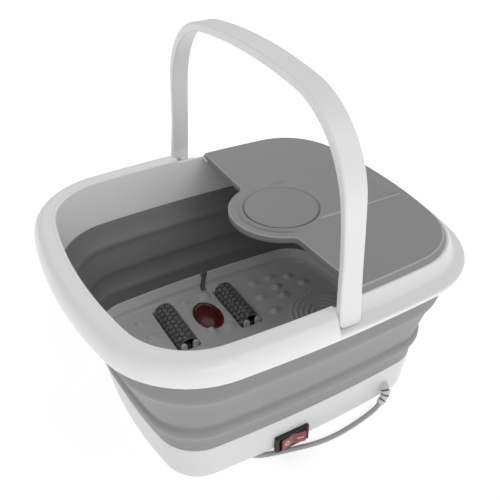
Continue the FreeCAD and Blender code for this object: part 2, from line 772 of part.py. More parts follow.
# ---------------------------------------------------------------- lamp domes
for name, centre in zip(("lens_far", "lens_near"), lens_centres):
    flange = ellipse_block(lens_half_x + 3, lens_half_y + 3, floor_under - 3.0, floor_under - 1.0, centre)
    neck = ellipse_block(lens_half_x, lens_half_y, floor_under - 1.0, floor_top, centre)
    rings = [(0, floor_top), (0.5, floor_top + 1.4), (2.6, floor_top + 3.2), (6.5, floor_top + 4.6)]
    wires = [ellipse_wire(lens_half_x - cut, lens_half_y - cut, z, *centre) for cut, z in rings]
    wires.append(ellipse_wire(4.0, 10.0, floor_top + 5.3, *centre))
    crown = Part.makeLoft(wires, True, False)
    solid_node(name, flange.fuse([neck, crown]).removeSplitter())
seals = []
boards = []
leds = []
for centre in lens_centres:
    ring = ellipse_block(lens_half_x + 3, lens_half_y + 3, floor_under - 1.0, floor_under, centre)
    seals.append(ring.cut(ellipse_block(lens_half_x + 0.2, lens_half_y + 0.2, 20, 50, centre)))
    boards.append(ellipse_block(13.0, 19.0, 24.0, 25.6, centre))
    for shift in (-10, 0, 10):
        leds.append(cylinder(2.5, 4.5, Vector(centre[0], centre[1] + shift, 25.6)))
solid_node("lens_seals", Part.makeCompound(seals))
solid_node("lamp_boards", Part.makeCompound(boards))
solid_node("lamp_leds", Part.makeCompound(leds))

# ---------------------------------------------------------------- ripple disc
ripple_side = ("ripple_radius", 1, 0)
ripple_corner = ("ripple_radius", 1, -1.2)
ripple_profile = [(0, 0), (ripple_side, 0), (ripple_side, 0.8), (ripple_corner, 1.8), (38.5, 2.0)]
for crest in (34.0, 27.0, 20.0, 13.0):
    ripple_profile += [(crest + 2.2, 2.0), (crest + 0.8, 3.4), (crest - 0.8, 3.4), (crest - 2.2, 2.0)]
ripple_profile += [(8.0, 2.0), (6.5, 3.2), (0, 3.8)]
ripple = turned_body("ripple_body", ripple_profile)
bubble_hole = new_sketch(ripple, "bubble_hole", "XY_Plane", 5.0)
bubble_hole.addGeometry(Part.Circle(Vector(40.0, 0, 0), Vector(0, 0, 1), 0.9), False)
drill = ripple.newObject("PartDesign::Pocket", "bubble_drill")
drill.Profile = bubble_hole
drill.Type = "ThroughAll"
drill.Reversed = False
round_pattern = ripple.newObject("PartDesign::PolarPattern", "bubble_ring")
round_pattern.Originals = [drill]
round_pattern.Axis = (bubble_hole, ["N_Axis"])
round_pattern.Angle = 360
round_pattern.Occurrences = 40
ripple.Tip = round_pattern
ripple.Placement = Placement(Vector(size_of("ripple_x"), 0, floor_top), Rotation())
bind(ripple, ".Placement.Base.x", ("ripple_x", 1, 0))
bind(ripple, ".Placement.Base.z", ("tub_floor_top", 1, 0))
export(ripple, "ripple_disc")


# ---------------------------------------------------------------- works under the floor
def plain_box(name, at, length, width, height):
    block = doc.addObject("Part::Box", name)
    for side, term in (("Length", length), ("Width", width), ("Height", height)):
        setattr(block, side, from_sheet(term))
        bind(block, side, term)
    block.Placement = Placement(Vector(*at), Rotation())
    return block


def plain_cylinder(name, at, radius, height, rotation=Rotation()):
    rod = doc.addObject("Part::Cylinder", name)
    for side, term in (("Radius", radius), ("Height", height)):
        setattr(rod, side, from_sheet(term))
        bind(rod, side, term)
    rod.Placement = Placement(Vector(*at), rotation)
    return rod


along_y = Rotation(Vector(1, 0, 0), -90)
along_x = Rotation(Vector(0, 1, 0), 90)


def joined(name, parts):
    union = doc.addObject("Part::MultiFuse", name)
    union.Shapes = parts
    return union


heater_under = floor_under - size_of("heater_thickness")
heater = plain_box(
    "heater_block",
    (-131, -size_of("heater_width") / 2, heater_under),
    ("heater_length", 1, 0),
    ("heater_width", 1, 0),
    ("heater_thickness", 1, 0),
)
export(heater, "heater_plate")
element_round = ("element_radius", 1, 0)
element_z = heater_under - size_of("element_radius")
element_run = [
    plain_cylinder("element_run_a", (-120, -45, element_z), element_round, 90, along_y),
    plain_cylinder("element_run_b", (-92, -45, element_z), element_round, 90, along_y),
    plain_cylinder("element_cross", (-120, 45, element_z), element_round, 28, along_x),
]
element_ends = []
for number, end_x in enumerate((-120, -92)):
    ball = doc.addObject("Part::Sphere", f"element_bend_{number}")
    ball.Radius = size_of("element_radius")
    bind(ball, "Radius", element_round)
    ball.Placement = Placement(Vector(end_x, 45, element_z), Rotation())
    element_ends.append(ball)
export(joined("element_build", element_run + element_ends), "heater_element")
cutout = joined(
    "cutout_build",
    [
        plain_cylinder("cutout_can", (-106, 0, heater_under - 6.0), 8.0, 6.0),
        plain_box("cutout_tab_a", (-109, -2, heater_under - 13.0), 1.0, 4.0, 8.0),
        plain_box("cutout_tab_b", (-104, -2, heater_under - 13.0), 1.0, 4.0, 8.0),
    ],
)
export(cutout, "thermal_cutout")

hose_x = size_of("ripple_x")
pump = joined(
    "pump_build",
    [
        plain_box("pump_case", (76, -94, 12.0), 58, 42, 20),
        plain_cylinder("pump_port", (hose_x, -52.5, 22), 1.9, 9.0, along_y),
        plain_cylinder("pump_cap", (92, -73, 12), 9.0, 21.5),
    ],
)
export(pump, "air_pump")
grommet = turned_body("grommet_template", [(0, 0), (4.0, 0), (4.0, 0.8), (3.2, 1.6), (3.2, 2.3), (0, 2.3)])
copies("pump_mounts", grommet, [(x, y, cover_top) for x in (82, 128) for y in (-88, -58)])

hose_radius = 3.4
hose_bend = 12.0
hose_start = Vector(hose_x, -51.9, 22)
hose_turn = Vector(hose_x, -hose_bend, 22)
hose_top = Vector(hose_x, 0, floor_top - 0.3)
bend_rise = hose_bend * (1 - math.sqrt(0.5))
bend_mid = Vector(hose_x, -bend_rise, 22 + bend_rise)
hose_path = Part.Wire(
    [
        Part.LineSegment(hose_start, hose_turn).toShape(),
        Part.Arc(hose_turn, bend_mid, Vector(hose_x, 0, 22 + hose_bend)).toShape(),
        Part.LineSegment(Vector(hose_x, 0, 22 + hose_bend), hose_top).toShape(),
    ]
)


def pipe(path, start, direction, radius):
    ring = Part.Wire([Part.Circle(start, direction, radius).toShape()])
    return path.makePipeShell([ring], True, True)


hose = pipe(hose_path, hose_start, Vector(0, 1, 0), hose_radius)
hose = hose.cut(pipe(hose_path, hose_start, Vector(0, 1, 0), 2.0))
solid_node("air_tube", hose)

board = plain_box(
    "board_blank",
    (-size_of("board_length") / 2, -size_of("board_width") / 2, 17.0),
    ("board_length", 1, 0),
    ("board_width", 1, 0),
    ("board_thickness", 1, 0),
)
export(board, "control_board")
board_items = [
    box(-40, -22, -12, 6, 18.6, 33.5),
    box(-16, -4, -14, 2, 18.6, 31.0),
    box(28, 42, -12, 12, 18.6, 30.0),
    cylinder(5.0, 14.0, Vector(6, -6, 18.6)),
    cylinder(4.0, 12.0, Vector(18, -8, 18.6)),
    cylinder(4.0, 12.0, Vector(18, 6, 18.6)),
]
solid_node("board_parts", Part.makeCompound(board_items))
post_body = turned_body("post_template", [(0, 0), (3.0, 0), (3.0, 7.3), (0, 7.3)])
copies("board_posts", post_body, [(x, y, cover_top) for x in (-41, 41) for y in (-13.5, 13.5)])

# ---------------------------------------------------------------- switch
bezel_corners = [edge for edge in bezel_block.Edges if abs(edge.tangentAt(edge.FirstParameter).y) > 0.9]
bezel = bezel_block.makeFillet(1.6, bezel_corners)
front_edges = [edge for edge in bezel.Edges if edge.BoundBox.YMax < bezel_front + 0.1]
bezel = bezel.makeChamfer(1.1, front_edges)
sleeve = box(switch_x - 17, switch_x + 17, face_y - 0.2, face_y + 8.0, switch_z - 8.5, switch_z + 8.5)
bezel = bezel.fuse(sleeve)
window_half = 16.0
window_rise = 7.4
window_low = switch_z - window_rise
window_high = switch_z + window_rise
window = box(switch_x - window_half, switch_x + window_half, face_y - 9, face_y + 9, window_low, window_high)
bezel = bezel.cut(window)
rock_y = face_y - 1.0
pivot_pin = cylinder(1.4, 2 * window_rise + 2.0, Vector(switch_x, rock_y, window_low - 1.0))
bezel = bezel.cut(cylinder(1.45, 2 * window_rise + 3.2, Vector(switch_x, rock_y, window_low - 1.6)))
solid_node("switch_bezel", bezel.removeSplitter())
rocker_outline = [
    (-14.6, -6.2),
    (0.0, -4.2),
    (14.6, -7.4),
    (14.9, -6.4),
    (13.4, 0.6),
    (3.2, 2.6),
    (-3.2, 2.6),
    (-13.4, 0.6),
    (-14.9, -5.2),
]
rocker_points = [Vector(switch_x + x, rock_y + y, window_low + 0.3) for x, y in rocker_outline]
rocker = Part.Face(Part.makePolygon(rocker_points + rocker_points[:1]))
rocker = rocker.extrude(Vector(0, 0, 2 * window_rise - 0.6)).fuse(pivot_pin)
solid_node("switch_rocker", rocker.removeSplitter())
switch_back = joined(
    "switch_build",
    [
        plain_box("switch_case", (switch_x - 16, face_y + 8.0, switch_z - 8), 32, 10, 16),
        plain_box("switch_tab_a", (switch_x - 11, face_y + 17.5, switch_z - 3), 0.8, 7.5, 6),
        plain_box("switch_tab_b", (switch_x + 10, face_y + 17.5, switch_z - 3), 0.8, 7.5, 6),
    ],
)
export(switch_back, "switch_body")

# ---------------------------------------------------------------- mains cord
cord_diameter = size_of("cord_diameter")
cord_radius = cord_diameter / 2


def rounded_route(points):
    """Straight runs joined by tangent arcs, each as large as its two runs allow."""
    edges = []
    here = points[0]
    for before, corner, after in zip(points, points[1:], points[2:]):
        come = corner - before
        leave = after - corner
        turn = come.getAngle(leave)
        cut = 0.45 * min(come.Length, leave.Length)
        radius = cut / math.tan(turn / 2)
        print(f"cord bend at ({corner.x:.0f}, {corner.y:.0f}, {corner.z:.0f}) radius {radius:.1f} mm")
        unit_in = come / come.Length
        unit_out = leave / leave.Length
        first = corner - unit_in * cut
        last = corner + unit_out * cut
        inward = unit_out - unit_in
        inward.normalize()
        middle = corner + inward * (radius / math.cos(turn / 2) - radius)
        edges.append(Part.LineSegment(here, first).toShape())
        edges.append(Part.Arc(first, middle, last).toShape())
        here = last
    edges.append(Part.LineSegment(here, points[-1]).toShape())
    return Part.Wire(edges)


def cord_tube(label, points):
    path = rounded_route(points)
    tube = pipe(path, points[0], points[1] - points[0], cord_radius)
    expected = math.pi * cord_radius**2 * path.Length
    print(f"{label}: length {path.Length:.1f} mm, volume {tube.Volume:.0f}, section x length {expected:.0f}")
    solid_node(label, tube)


rest_z = cord_radius + 0.05
relief_path = [
    (Vector(gland_x, -129.0, gland_z), 4.6),
    (Vector(gland_x, -131.9, gland_z - 0.8), 4.5),
    (Vector(gland_x - 0.3, -134.0, gland_z - 2.9), 4.4),
    (Vector(gland_x - 0.9, -134.8, gland_z - 5.8), 4.3),
    (Vector(gland_x - 2.6, -134.9, gland_z - 10.4), 4.1),
    (Vector(gland_x - 5.3, -135.0, gland_z - 14.8), 3.8),
    (Vector(gland_x - 8.8, -135.1, gland_z - 18.6), 3.5),
]
relief_wires = []
for number, (spot, radius) in enumerate(relief_path):
    before = relief_path[max(number - 1, 0)][0]
    after = relief_path[min(number + 1, len(relief_path) - 1)][0]
    heading = after - before if number else Vector(0, -1, 0)
    relief_wires.append(Part.Wire([Part.Circle(spot, heading, radius).toShape()]))
boot = Part.makeLoft(relief_wires, True, False)
flange = cylinder(7.0, 2.6, Vector(gland_x, -126.4, gland_z), Vector(0, -1, 0))
shank = cylinder(4.5, 8.0, Vector(gland_x, -121.0, gland_z), Vector(0, -1, 0))
inner_nut = cylinder(5.6, 1.8, Vector(gland_x, -122.4, gland_z), Vector(0, -1, 0))
relief = boot.fuse([flange.cut(shell), shank, inner_nut])
solid_node("strain_relief", relief.removeSplitter())

exit_point = relief_path[-1][0]
CORD_ROUTE = [
    exit_point,
    Vector(94.2, -135.6, 5.6),
    Vector(86.2, -136.0, rest_z),
    Vector(70.0, -138.8, rest_z),
    Vector(49.0, -141.2, rest_z),
    Vector(28.0, -142.0, rest_z),
    Vector(6.5, -139.8, rest_z),
    Vector(-15.0, -134.4, rest_z),
    Vector(-36.5, -128.6, rest_z),
    Vector(-57.0, -121.6, rest_z),
    Vector(-72.5, -105.4, rest_z),
    Vector(-81.0, -82.6, rest_z),
    Vector(-84.0, -57.6, rest_z),
    Vector(-83.0, -32.0, rest_z),
    Vector(-79.0, -5.0, rest_z),
    Vector(-72.0, 22.0, rest_z),
    Vector(-62.5, 48.5, rest_z),
    Vector(-51.0, 75.0, rest_z),
    Vector(-39.0, 101.0, rest_z),
    Vector(-28.0, 128.0, rest_z),
    Vector(-15.0, 152.0, rest_z),
    Vector(4.0, 170.0, rest_z),
    Vector(27.0, 179.5, rest_z),
]
cord_tube("power_cord", CORD_ROUTE)
coil_x = 37.0
coil_y = 210.0
coil_profile = [(22.5, 0.7), (37.5, 0.7), (38.5, 2.7), (38.5, 9.4)]
coil_profile += [(37.5, 11.4), (22.5, 11.4), (21.5, 9.4), (21.5, 2.7)]
coil = turned_body("coil_body", coil_profile)
coil.Placement = Placement(Vector(coil_x, coil_y, 0), Rotation())
export(coil, "cord_coil")
tie_outer = box(coil_x - 40.3, coil_x - 19.3, coil_y - 3, coil_y + 3, 0.0, 12.4)
tie_inner = box(coil_x - 38.6, coil_x - 21.2, coil_y - 4, coil_y + 4, 0.6, 11.6)
solid_node("cord_tie", tie_outer.cut(tie_inner))
TAIL_ROUTE = [
    Vector(67.0, 195.0, rest_z),
    Vector(81.0, 205.0, rest_z),
    Vector(95.0, 219.0, rest_z),
    Vector(112.0, 227.0, rest_z),
    Vector(129.0, 225.6, 4.4),
    Vector(143.0, 217.2, 7.6),
]
cord_tube("cord_tail", TAIL_ROUTE)

plug_at = Vector(143.0, 217.2, 7.6)
plug_turn = Rotation(Vector(0, 0, 1), -31.0)
plug_rings = []
plug_sizes = [(0, 4.2, 4.2), (10, 5.0, 5.0), (14, 9.5, 6.6), (24, 12.5, 7.5), (34, 12.5, 7.5)]
for along, half_y, half_z in plug_sizes:
    corners = [
        Vector(along, -half_y, -half_z * 0.6),
        Vector(along, -half_y * 0.75, -half_z),
        Vector(along, half_y * 0.75, -half_z),
        Vector(along, half_y, -half_z * 0.6),
        Vector(along, half_y, half_z * 0.6),
        Vector(along, half_y * 0.75, half_z),
        Vector(along, -half_y * 0.75, half_z),
        Vector(along, -half_y, half_z * 0.6),
    ]
    plug_rings.append(Part.makePolygon(corners + corners[:1]))
plug = Part.makeLoft(plug_rings, True, True)
plug_node = solid_node("plug_body", plug)
plug_node.Placement = Placement(plug_at, plug_turn)
pins = [box(34, 51, y - 0.8, y + 0.8, -3.2, 3.2) for y in (-6.3, 6.3)]
pin_node = solid_node("plug_pins", Part.makeCompound(pins))
pin_node.Placement = Placement(plug_at, plug_turn)

clamp = joined(
    "clamp_build",
    [
        plain_box("clamp_bridge", (gland_x - 11, -118.5, cover_top + 2.5), 22, 7, 13.0),
        plain_box("clamp_bar", (gland_x - 11, -117.5, cover_top + 18.0), 22, 6, 4.0),
        plain_cylinder("clamp_screw_a", (gland_x - 8.2, -114.5, cover_top + 10), 1.5, 14.0),
        plain_cylinder("clamp_screw_b", (gland_x + 8.2, -114.5, cover_top + 10), 1.5, 14.0),
    ],
)
export(clamp, "cord_clamp")

# ---------------------------------------------------------------- checks and export
doc.recompute()
for item in doc.Objects:
    if "Invalid" in item.State or "Error" in item.State:
        raise RuntimeError(f"{item.Label}: {item.State}")
os.makedirs("parts", exist_ok=True)
for item in NODES:
    if item.Shape.isNull() or not item.Shape.isValid() or not item.Shape.Solids:
        raise RuntimeError(f"{item.Label} has no valid solid")
    item.Shape.exportStep(f"parts/{item.Label}.step")
    print(f"{item.Label}: {len(item.Shape.Solids)} solid(s), {item.Shape.Volume / 1000:.1f} cm3")
print(f"{len(NODES)} nodes")
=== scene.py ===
import math

import bmesh
import bpy
from mathutils import Matrix, Vector
from mathutils.geometry import delaunay_2d_cdt


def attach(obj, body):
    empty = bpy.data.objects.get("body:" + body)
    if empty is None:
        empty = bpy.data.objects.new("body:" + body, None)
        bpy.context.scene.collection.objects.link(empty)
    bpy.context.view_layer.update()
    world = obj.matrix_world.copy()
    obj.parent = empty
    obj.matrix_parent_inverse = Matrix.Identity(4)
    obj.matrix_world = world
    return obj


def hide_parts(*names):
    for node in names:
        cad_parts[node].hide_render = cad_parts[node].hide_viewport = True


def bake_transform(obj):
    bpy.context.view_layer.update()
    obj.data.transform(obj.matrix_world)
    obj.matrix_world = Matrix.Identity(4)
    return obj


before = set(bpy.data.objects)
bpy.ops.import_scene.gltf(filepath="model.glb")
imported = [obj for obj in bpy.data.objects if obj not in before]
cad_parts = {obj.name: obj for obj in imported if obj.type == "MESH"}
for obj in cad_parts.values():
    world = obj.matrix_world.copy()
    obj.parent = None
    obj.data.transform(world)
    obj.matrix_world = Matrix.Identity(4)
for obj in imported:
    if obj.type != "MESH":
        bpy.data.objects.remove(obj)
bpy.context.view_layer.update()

MM = 0.001

# ---- camera
VIEW_AZIMUTH = math.radians(-30.58)
VIEW_ELEVATION = math.radians(35.17)
VIEW_ROLL = math.radians(0.305)
VIEW_SPOT = Vector((-0.2924, -0.5056, 0.5882))
VIEW_LENS, SENSOR_WIDTH = 47.78, 36.0
CLIP_START, CLIP_END = 0.01, 50.0


def add_camera():
    sin_a, cos_a = math.sin(VIEW_AZIMUTH), math.cos(VIEW_AZIMUTH)
    sin_e, cos_e = math.sin(VIEW_ELEVATION), math.cos(VIEW_ELEVATION)
    back = Vector((sin_a * cos_e, -cos_a * cos_e, sin_e))
    right = Vector((cos_a, sin_a, 0.0))
    up = back.cross(right)
    rolled_right = right * math.cos(VIEW_ROLL) + up * math.sin(VIEW_ROLL)
    rolled_up = up * math.cos(VIEW_ROLL) - right * math.sin(VIEW_ROLL)
    turn = Matrix((rolled_right, rolled_up, back)).transposed().to_4x4()
    data = bpy.data.cameras.new("photo_view")
    data.sensor_width = SENSOR_WIDTH
    data.lens = VIEW_LENS
    data.clip_start = CLIP_START
    data.clip_end = CLIP_END
    camera = bpy.data.objects.new("photo_view", data)
    bpy.context.scene.collection.objects.link(camera)
    camera.matrix_world = Matrix.Translation(VIEW_SPOT) @ turn
    bpy.context.scene.camera = camera


add_camera()

# ---- mesh helpers
SHARP_ANGLE, MERGE_DISTANCE = 40.0, 1e-6


def link(name, mesh):
    piece = bpy.data.objects.new(name, mesh)
    bpy.context.scene.collection.objects.link(piece)
    return piece


def mesh_piece(name, points, faces, sharp=SHARP_ANGLE, weighted=True):
    """Object from points in millimetres, smooth but for edges sharper than the angle."""
    mesh = bpy.data.meshes.new(name)
    mesh.from_pydata([(x * MM, y * MM, z * MM) for x, y, z in points], [], faces)
    tidy = bmesh.new()
    tidy.from_mesh(mesh)
    bmesh.ops.remove_doubles(tidy, verts=tidy.verts, dist=MERGE_DISTANCE)
    bmesh.ops.recalc_face_normals(tidy, faces=tidy.faces)
    tidy.to_mesh(mesh)
    tidy.free()
    piece = link(name, mesh)
    finish_shading(piece, sharp, weighted)
    return piece


def finish_shading(piece, sharp, weighted):
    piece.data.shade_smooth()
    piece.data.set_sharp_from_angle(angle=math.radians(sharp))
    if weighted:
        weigh = piece.modifiers.new("weighted", "WEIGHTED_NORMAL")
        weigh.keep_sharp = True


def quads(rings, closed_ring=True, closed_profile=False):
    """Points and faces of the four-sided patches between rings of equal length."""
    count = len(rings[0])
    rows = len(rings) if closed_profile else len(rings) - 1
    columns = count if closed_ring else count - 1
    faces = []
    for row in range(rows):
        below, above = row * count, (row + 1) % len(rings) * count
        for column in range(columns):
            after = (column + 1) % count
            faces.append((below + column, below + after, above + after, above + column))
    return [point for ring in rings for point in ring], faces


def end_caps(rings, closed_ring):
    """Faces that close the first and last ring, or the two sides of an open strip."""
    count, rows = len(rings[0]), len(rings)
    if closed_ring:
        return [tuple(range(count - 1, -1, -1)), tuple(range((rows - 1) * count, rows * count))]
    first = tuple(row * count for row in range(rows))
    last = tuple(row * count + count - 1 for row in range(rows - 1, -1, -1))
    return [first, last]


def loft(name, rings, closed_ring=True, closed_profile=False, caps=False, sharp=SHARP_ANGLE,
         weighted=True):
    """Piece from rings of (x, y, z) points in millimetres."""
    points, faces = quads(rings, closed_ring, closed_profile)
    if caps:
        faces += end_caps(rings, closed_ring)
    return mesh_piece(name, points, faces, sharp, weighted)


def merged(parts):
    """One list of points and one of faces from several pairs."""
    points, faces = [], []
    for more_points, more_faces in parts:
        shift = len(points)
        points += more_points
        faces += [tuple(corner + shift for corner in face) for face in more_faces]
    return points, faces


def circle(centre, radius, count=72):
    turns = [2 * math.pi * step / count for step in range(count)]
    return [(centre[0] + radius * math.cos(turn), centre[1] + radius * math.sin(turn)) for turn in turns]


def rounded(corners, radius, steps):
    """Closed flat loop with each corner turned into a short curve."""
    out = []
    for number, corner in enumerate(corners):
        here = Vector(corner)
        before = Vector(corners[number - 1])
        after = Vector(corners[(number + 1) % len(corners)])
        start = here + (before - here).normalized() * radius
        end = here + (after - here).normalized() * radius
        for step in range(steps + 1):
            t = step / steps
            out.append(tuple(start * (1 - t) ** 2 + here * 2 * t * (1 - t) + end * t**2))
    return out


def clamp(share):
    return min(max(share, 0.0), 1.0)


def ease(value, low, high):
    """0 below low, 1 above high and a soft step between."""
    share = clamp((value - low) / (high - low))
    return share * share * (3 - 2 * share)


def smooth_curve(corners, per_span):
    """Catmull-Rom curve through points of any size."""
    out = []
    last = len(corners) - 1
    for number in range(last):
        p0 = Vector(corners[max(number - 1, 0)])
        p1 = Vector(corners[number])
        p2 = Vector(corners[number + 1])
        p3 = Vector(corners[min(number + 2, last)])
        for step in range(per_span):
            t = step / per_span
            point = 0.5 * (2 * p1 + (p2 - p0) * t + (2 * p0 - 5 * p1 + 4 * p2 - p3) * t**2
                           + (3 * p1 - p0 - 3 * p2 + p3) * t**3)
            out.append(tuple(point))
    out.append(tuple(corners[last]))
    return out


# ---- plan of the basin, in millimetres
HALF_LENGTH, HALF_WIDTH, CORNER = 205.0, 181.3, 96.1
LONG_SIDE, SHORT_SIDE = 1641.0, 524.0
BASE_SHIFT, BASE_GAIN, BASE_CORNER = 7.5, 8.8, 1.8
SKIRT_BOTTOM, BASE_TOP = 157.0, 57.3
FLOOR_TOP = 38.0
BAND_END = -3.2
RING_STEPS = (9, 14, 7)


def first_quarter(long_half, wide_half, corner, side, end):
    """Centre of the corner arc and the two angles where it meets the bowed sides."""
    side_centre = Vector((0.0, wide_half - side))
    end_centre = Vector((long_half - end, 0.0))
    reach_side, reach_end = side - corner, end - corner
    gap = end_centre - side_centre
    along = (reach_side**2 - reach_end**2 + gap.length**2) / (2 * gap.length)
    off = math.sqrt(reach_side**2 - along**2)
    unit = gap.normalized()
    square = Vector((-unit.y, unit.x))
    choices = [side_centre + unit * along + square * off * sign for sign in (1, -1)]
    centre = max(choices, key=lambda point: point.x + point.y)
    to_side, to_end = centre - side_centre, centre - end_centre
    return centre, math.atan2(to_side.y, to_side.x), math.atan2(to_end.y, to_end.x)


def half_oval(long_half, wide_half, corner, side, end, sign, start, counts=RING_STEPS):
    """Points from the far side at x = start, round the end that sign names, to the near side."""
    centre, side_angle, end_angle = first_quarter(long_half, wide_half, corner, side, end)
    first = sign * start
    touch = centre.x + corner * math.cos(side_angle)
    far = []
    for step in range(counts[0]):
        x = first + (touch - first) * step / counts[0]
        far.append((x, wide_half - side + math.sqrt(side**2 - x**2)))
    for step in range(counts[1]):
        angle = side_angle + (end_angle - side_angle) * step / counts[1]
        far.append((centre.x + corner * math.cos(angle), centre.y + corner * math.sin(angle)))
    for step in range(counts[2]):
        angle = end_angle * (1 - step / counts[2])
        far.append((long_half - end + end * math.cos(angle), end * math.sin(angle)))
    whole = far + [(long_half, 0.0)] + [(x, -y) for x, y in reversed(far)]
    return [(sign * x, y) for x, y in whole]


def plan_half(inset_x, inset_y, sign, start, corner_inset=None, shift=0.0):
    """Half of the basin's outline, moved inwards and along."""
    if corner_inset is None:
        corner_inset = (inset_x + inset_y) / 2
    points = half_oval(HALF_LENGTH - inset_x, HALF_WIDTH - inset_y, CORNER - corner_inset,
                       LONG_SIDE - inset_y, SHORT_SIDE - inset_x, sign, start - shift)
    return [(x + shift, y) for x, y in points]


def plan_ring(inset_x, inset_y, corner_inset=None, shift=0.0):
    right = plan_half(inset_x, inset_y, 1, shift, corner_inset, shift)
    left = plan_half(inset_x, inset_y, -1, shift, corner_inset, shift)
    return right[:-1] + left[::-1][:-1]


def at_height(ring, z):
    return [(x, y, z) for x, y in ring]


def wall_ring(inset, z):
    """Outline of the soft wall, which blends from the skirt's plan to the base's."""
    share = clamp((SKIRT_BOTTOM - z) / (SKIRT_BOTTOM - BASE_TOP))
    ring = plan_ring(inset - share * BASE_GAIN, inset, inset + share * BASE_CORNER, share * BASE_SHIFT)
    return at_height(ring, z)


def base_ring(inset, z):
    return at_height(plan_ring(inset - BASE_GAIN, inset, inset + BASE_CORNER, BASE_SHIFT), z)


# ---- materials
MATERIALS = {}
COAT_ROUGHNESS, ROUGHNESS_SPREAD = 0.12, 0.06
MOTTLE_DETAIL, GRAIN_DETAIL, GRAIN_DEPTH = 5.0, 3.0, 0.0004
TINT_SPAN = (0.3, 0.7)


def grey(value):
    return (value, value, value)


def set_inputs(node, values):
    for socket, value in values.items():
        node.inputs[socket].default_value = value


def node_material(name, color, roughness, grain, mottle, grain_scale=900.0, mottle_scale=14.0,
                  coat=0.0, metallic=0.0, transmission=0.0, sheen=0.0):
    """Plastic, rubber or metal with a faint mottle in colour and gloss and a fine grain."""
    material = bpy.data.materials.new(name)
    material.use_nodes = True
    nodes, links = material.node_tree.nodes, material.node_tree.links
    shader = nodes["Principled BSDF"]
    set_inputs(shader, {"Metallic": metallic, "Coat Weight": coat, "Coat Roughness": COAT_ROUGHNESS,
                        "Transmission Weight": transmission, "Sheen Weight": sheen})
    coordinates = nodes.new("ShaderNodeTexCoord")

    def noise(scale, detail):
        texture = nodes.new("ShaderNodeTexNoise")
        set_inputs(texture, {"Scale": scale, "Detail": detail})
        links.new(coordinates.outputs["Object"], texture.inputs["Vector"])
        return texture.outputs["Fac"]

    cloud = noise(mottle_scale, MOTTLE_DETAIL)
    tint = nodes.new("ShaderNodeValToRGB")
    for end, position, gain in zip(tint.color_ramp.elements, TINT_SPAN, (1 - mottle, 1 + mottle)):
        end.position = position
        end.color = [min(1.0, c * gain) for c in color] + [1]
    links.new(cloud, tint.inputs["Fac"])
    links.new(tint.outputs["Color"], shader.inputs["Base Color"])
    spread = nodes.new("ShaderNodeMapRange")
    set_inputs(spread, {"To Min": roughness - ROUGHNESS_SPREAD, "To Max": roughness + ROUGHNESS_SPREAD})
    links.new(cloud, spread.inputs["Value"])
    links.new(spread.outputs["Result"], shader.inputs["Roughness"])
    bump = nodes.new("ShaderNodeBump")
    set_inputs(bump, {"Strength": grain, "Distance": GRAIN_DEPTH})
    links.new(noise(grain_scale, GRAIN_DETAIL), bump.inputs["Height"])
    links.new(bump.outputs["Normal"], shader.inputs["Normal"])
    MATERIALS[name] = material


SOFT = {"grain_scale": 1400.0, "mottle_scale": 9.0}
CABLE = {"grain_scale": 1600.0}
GLASSY = {"mottle_scale": 60.0}
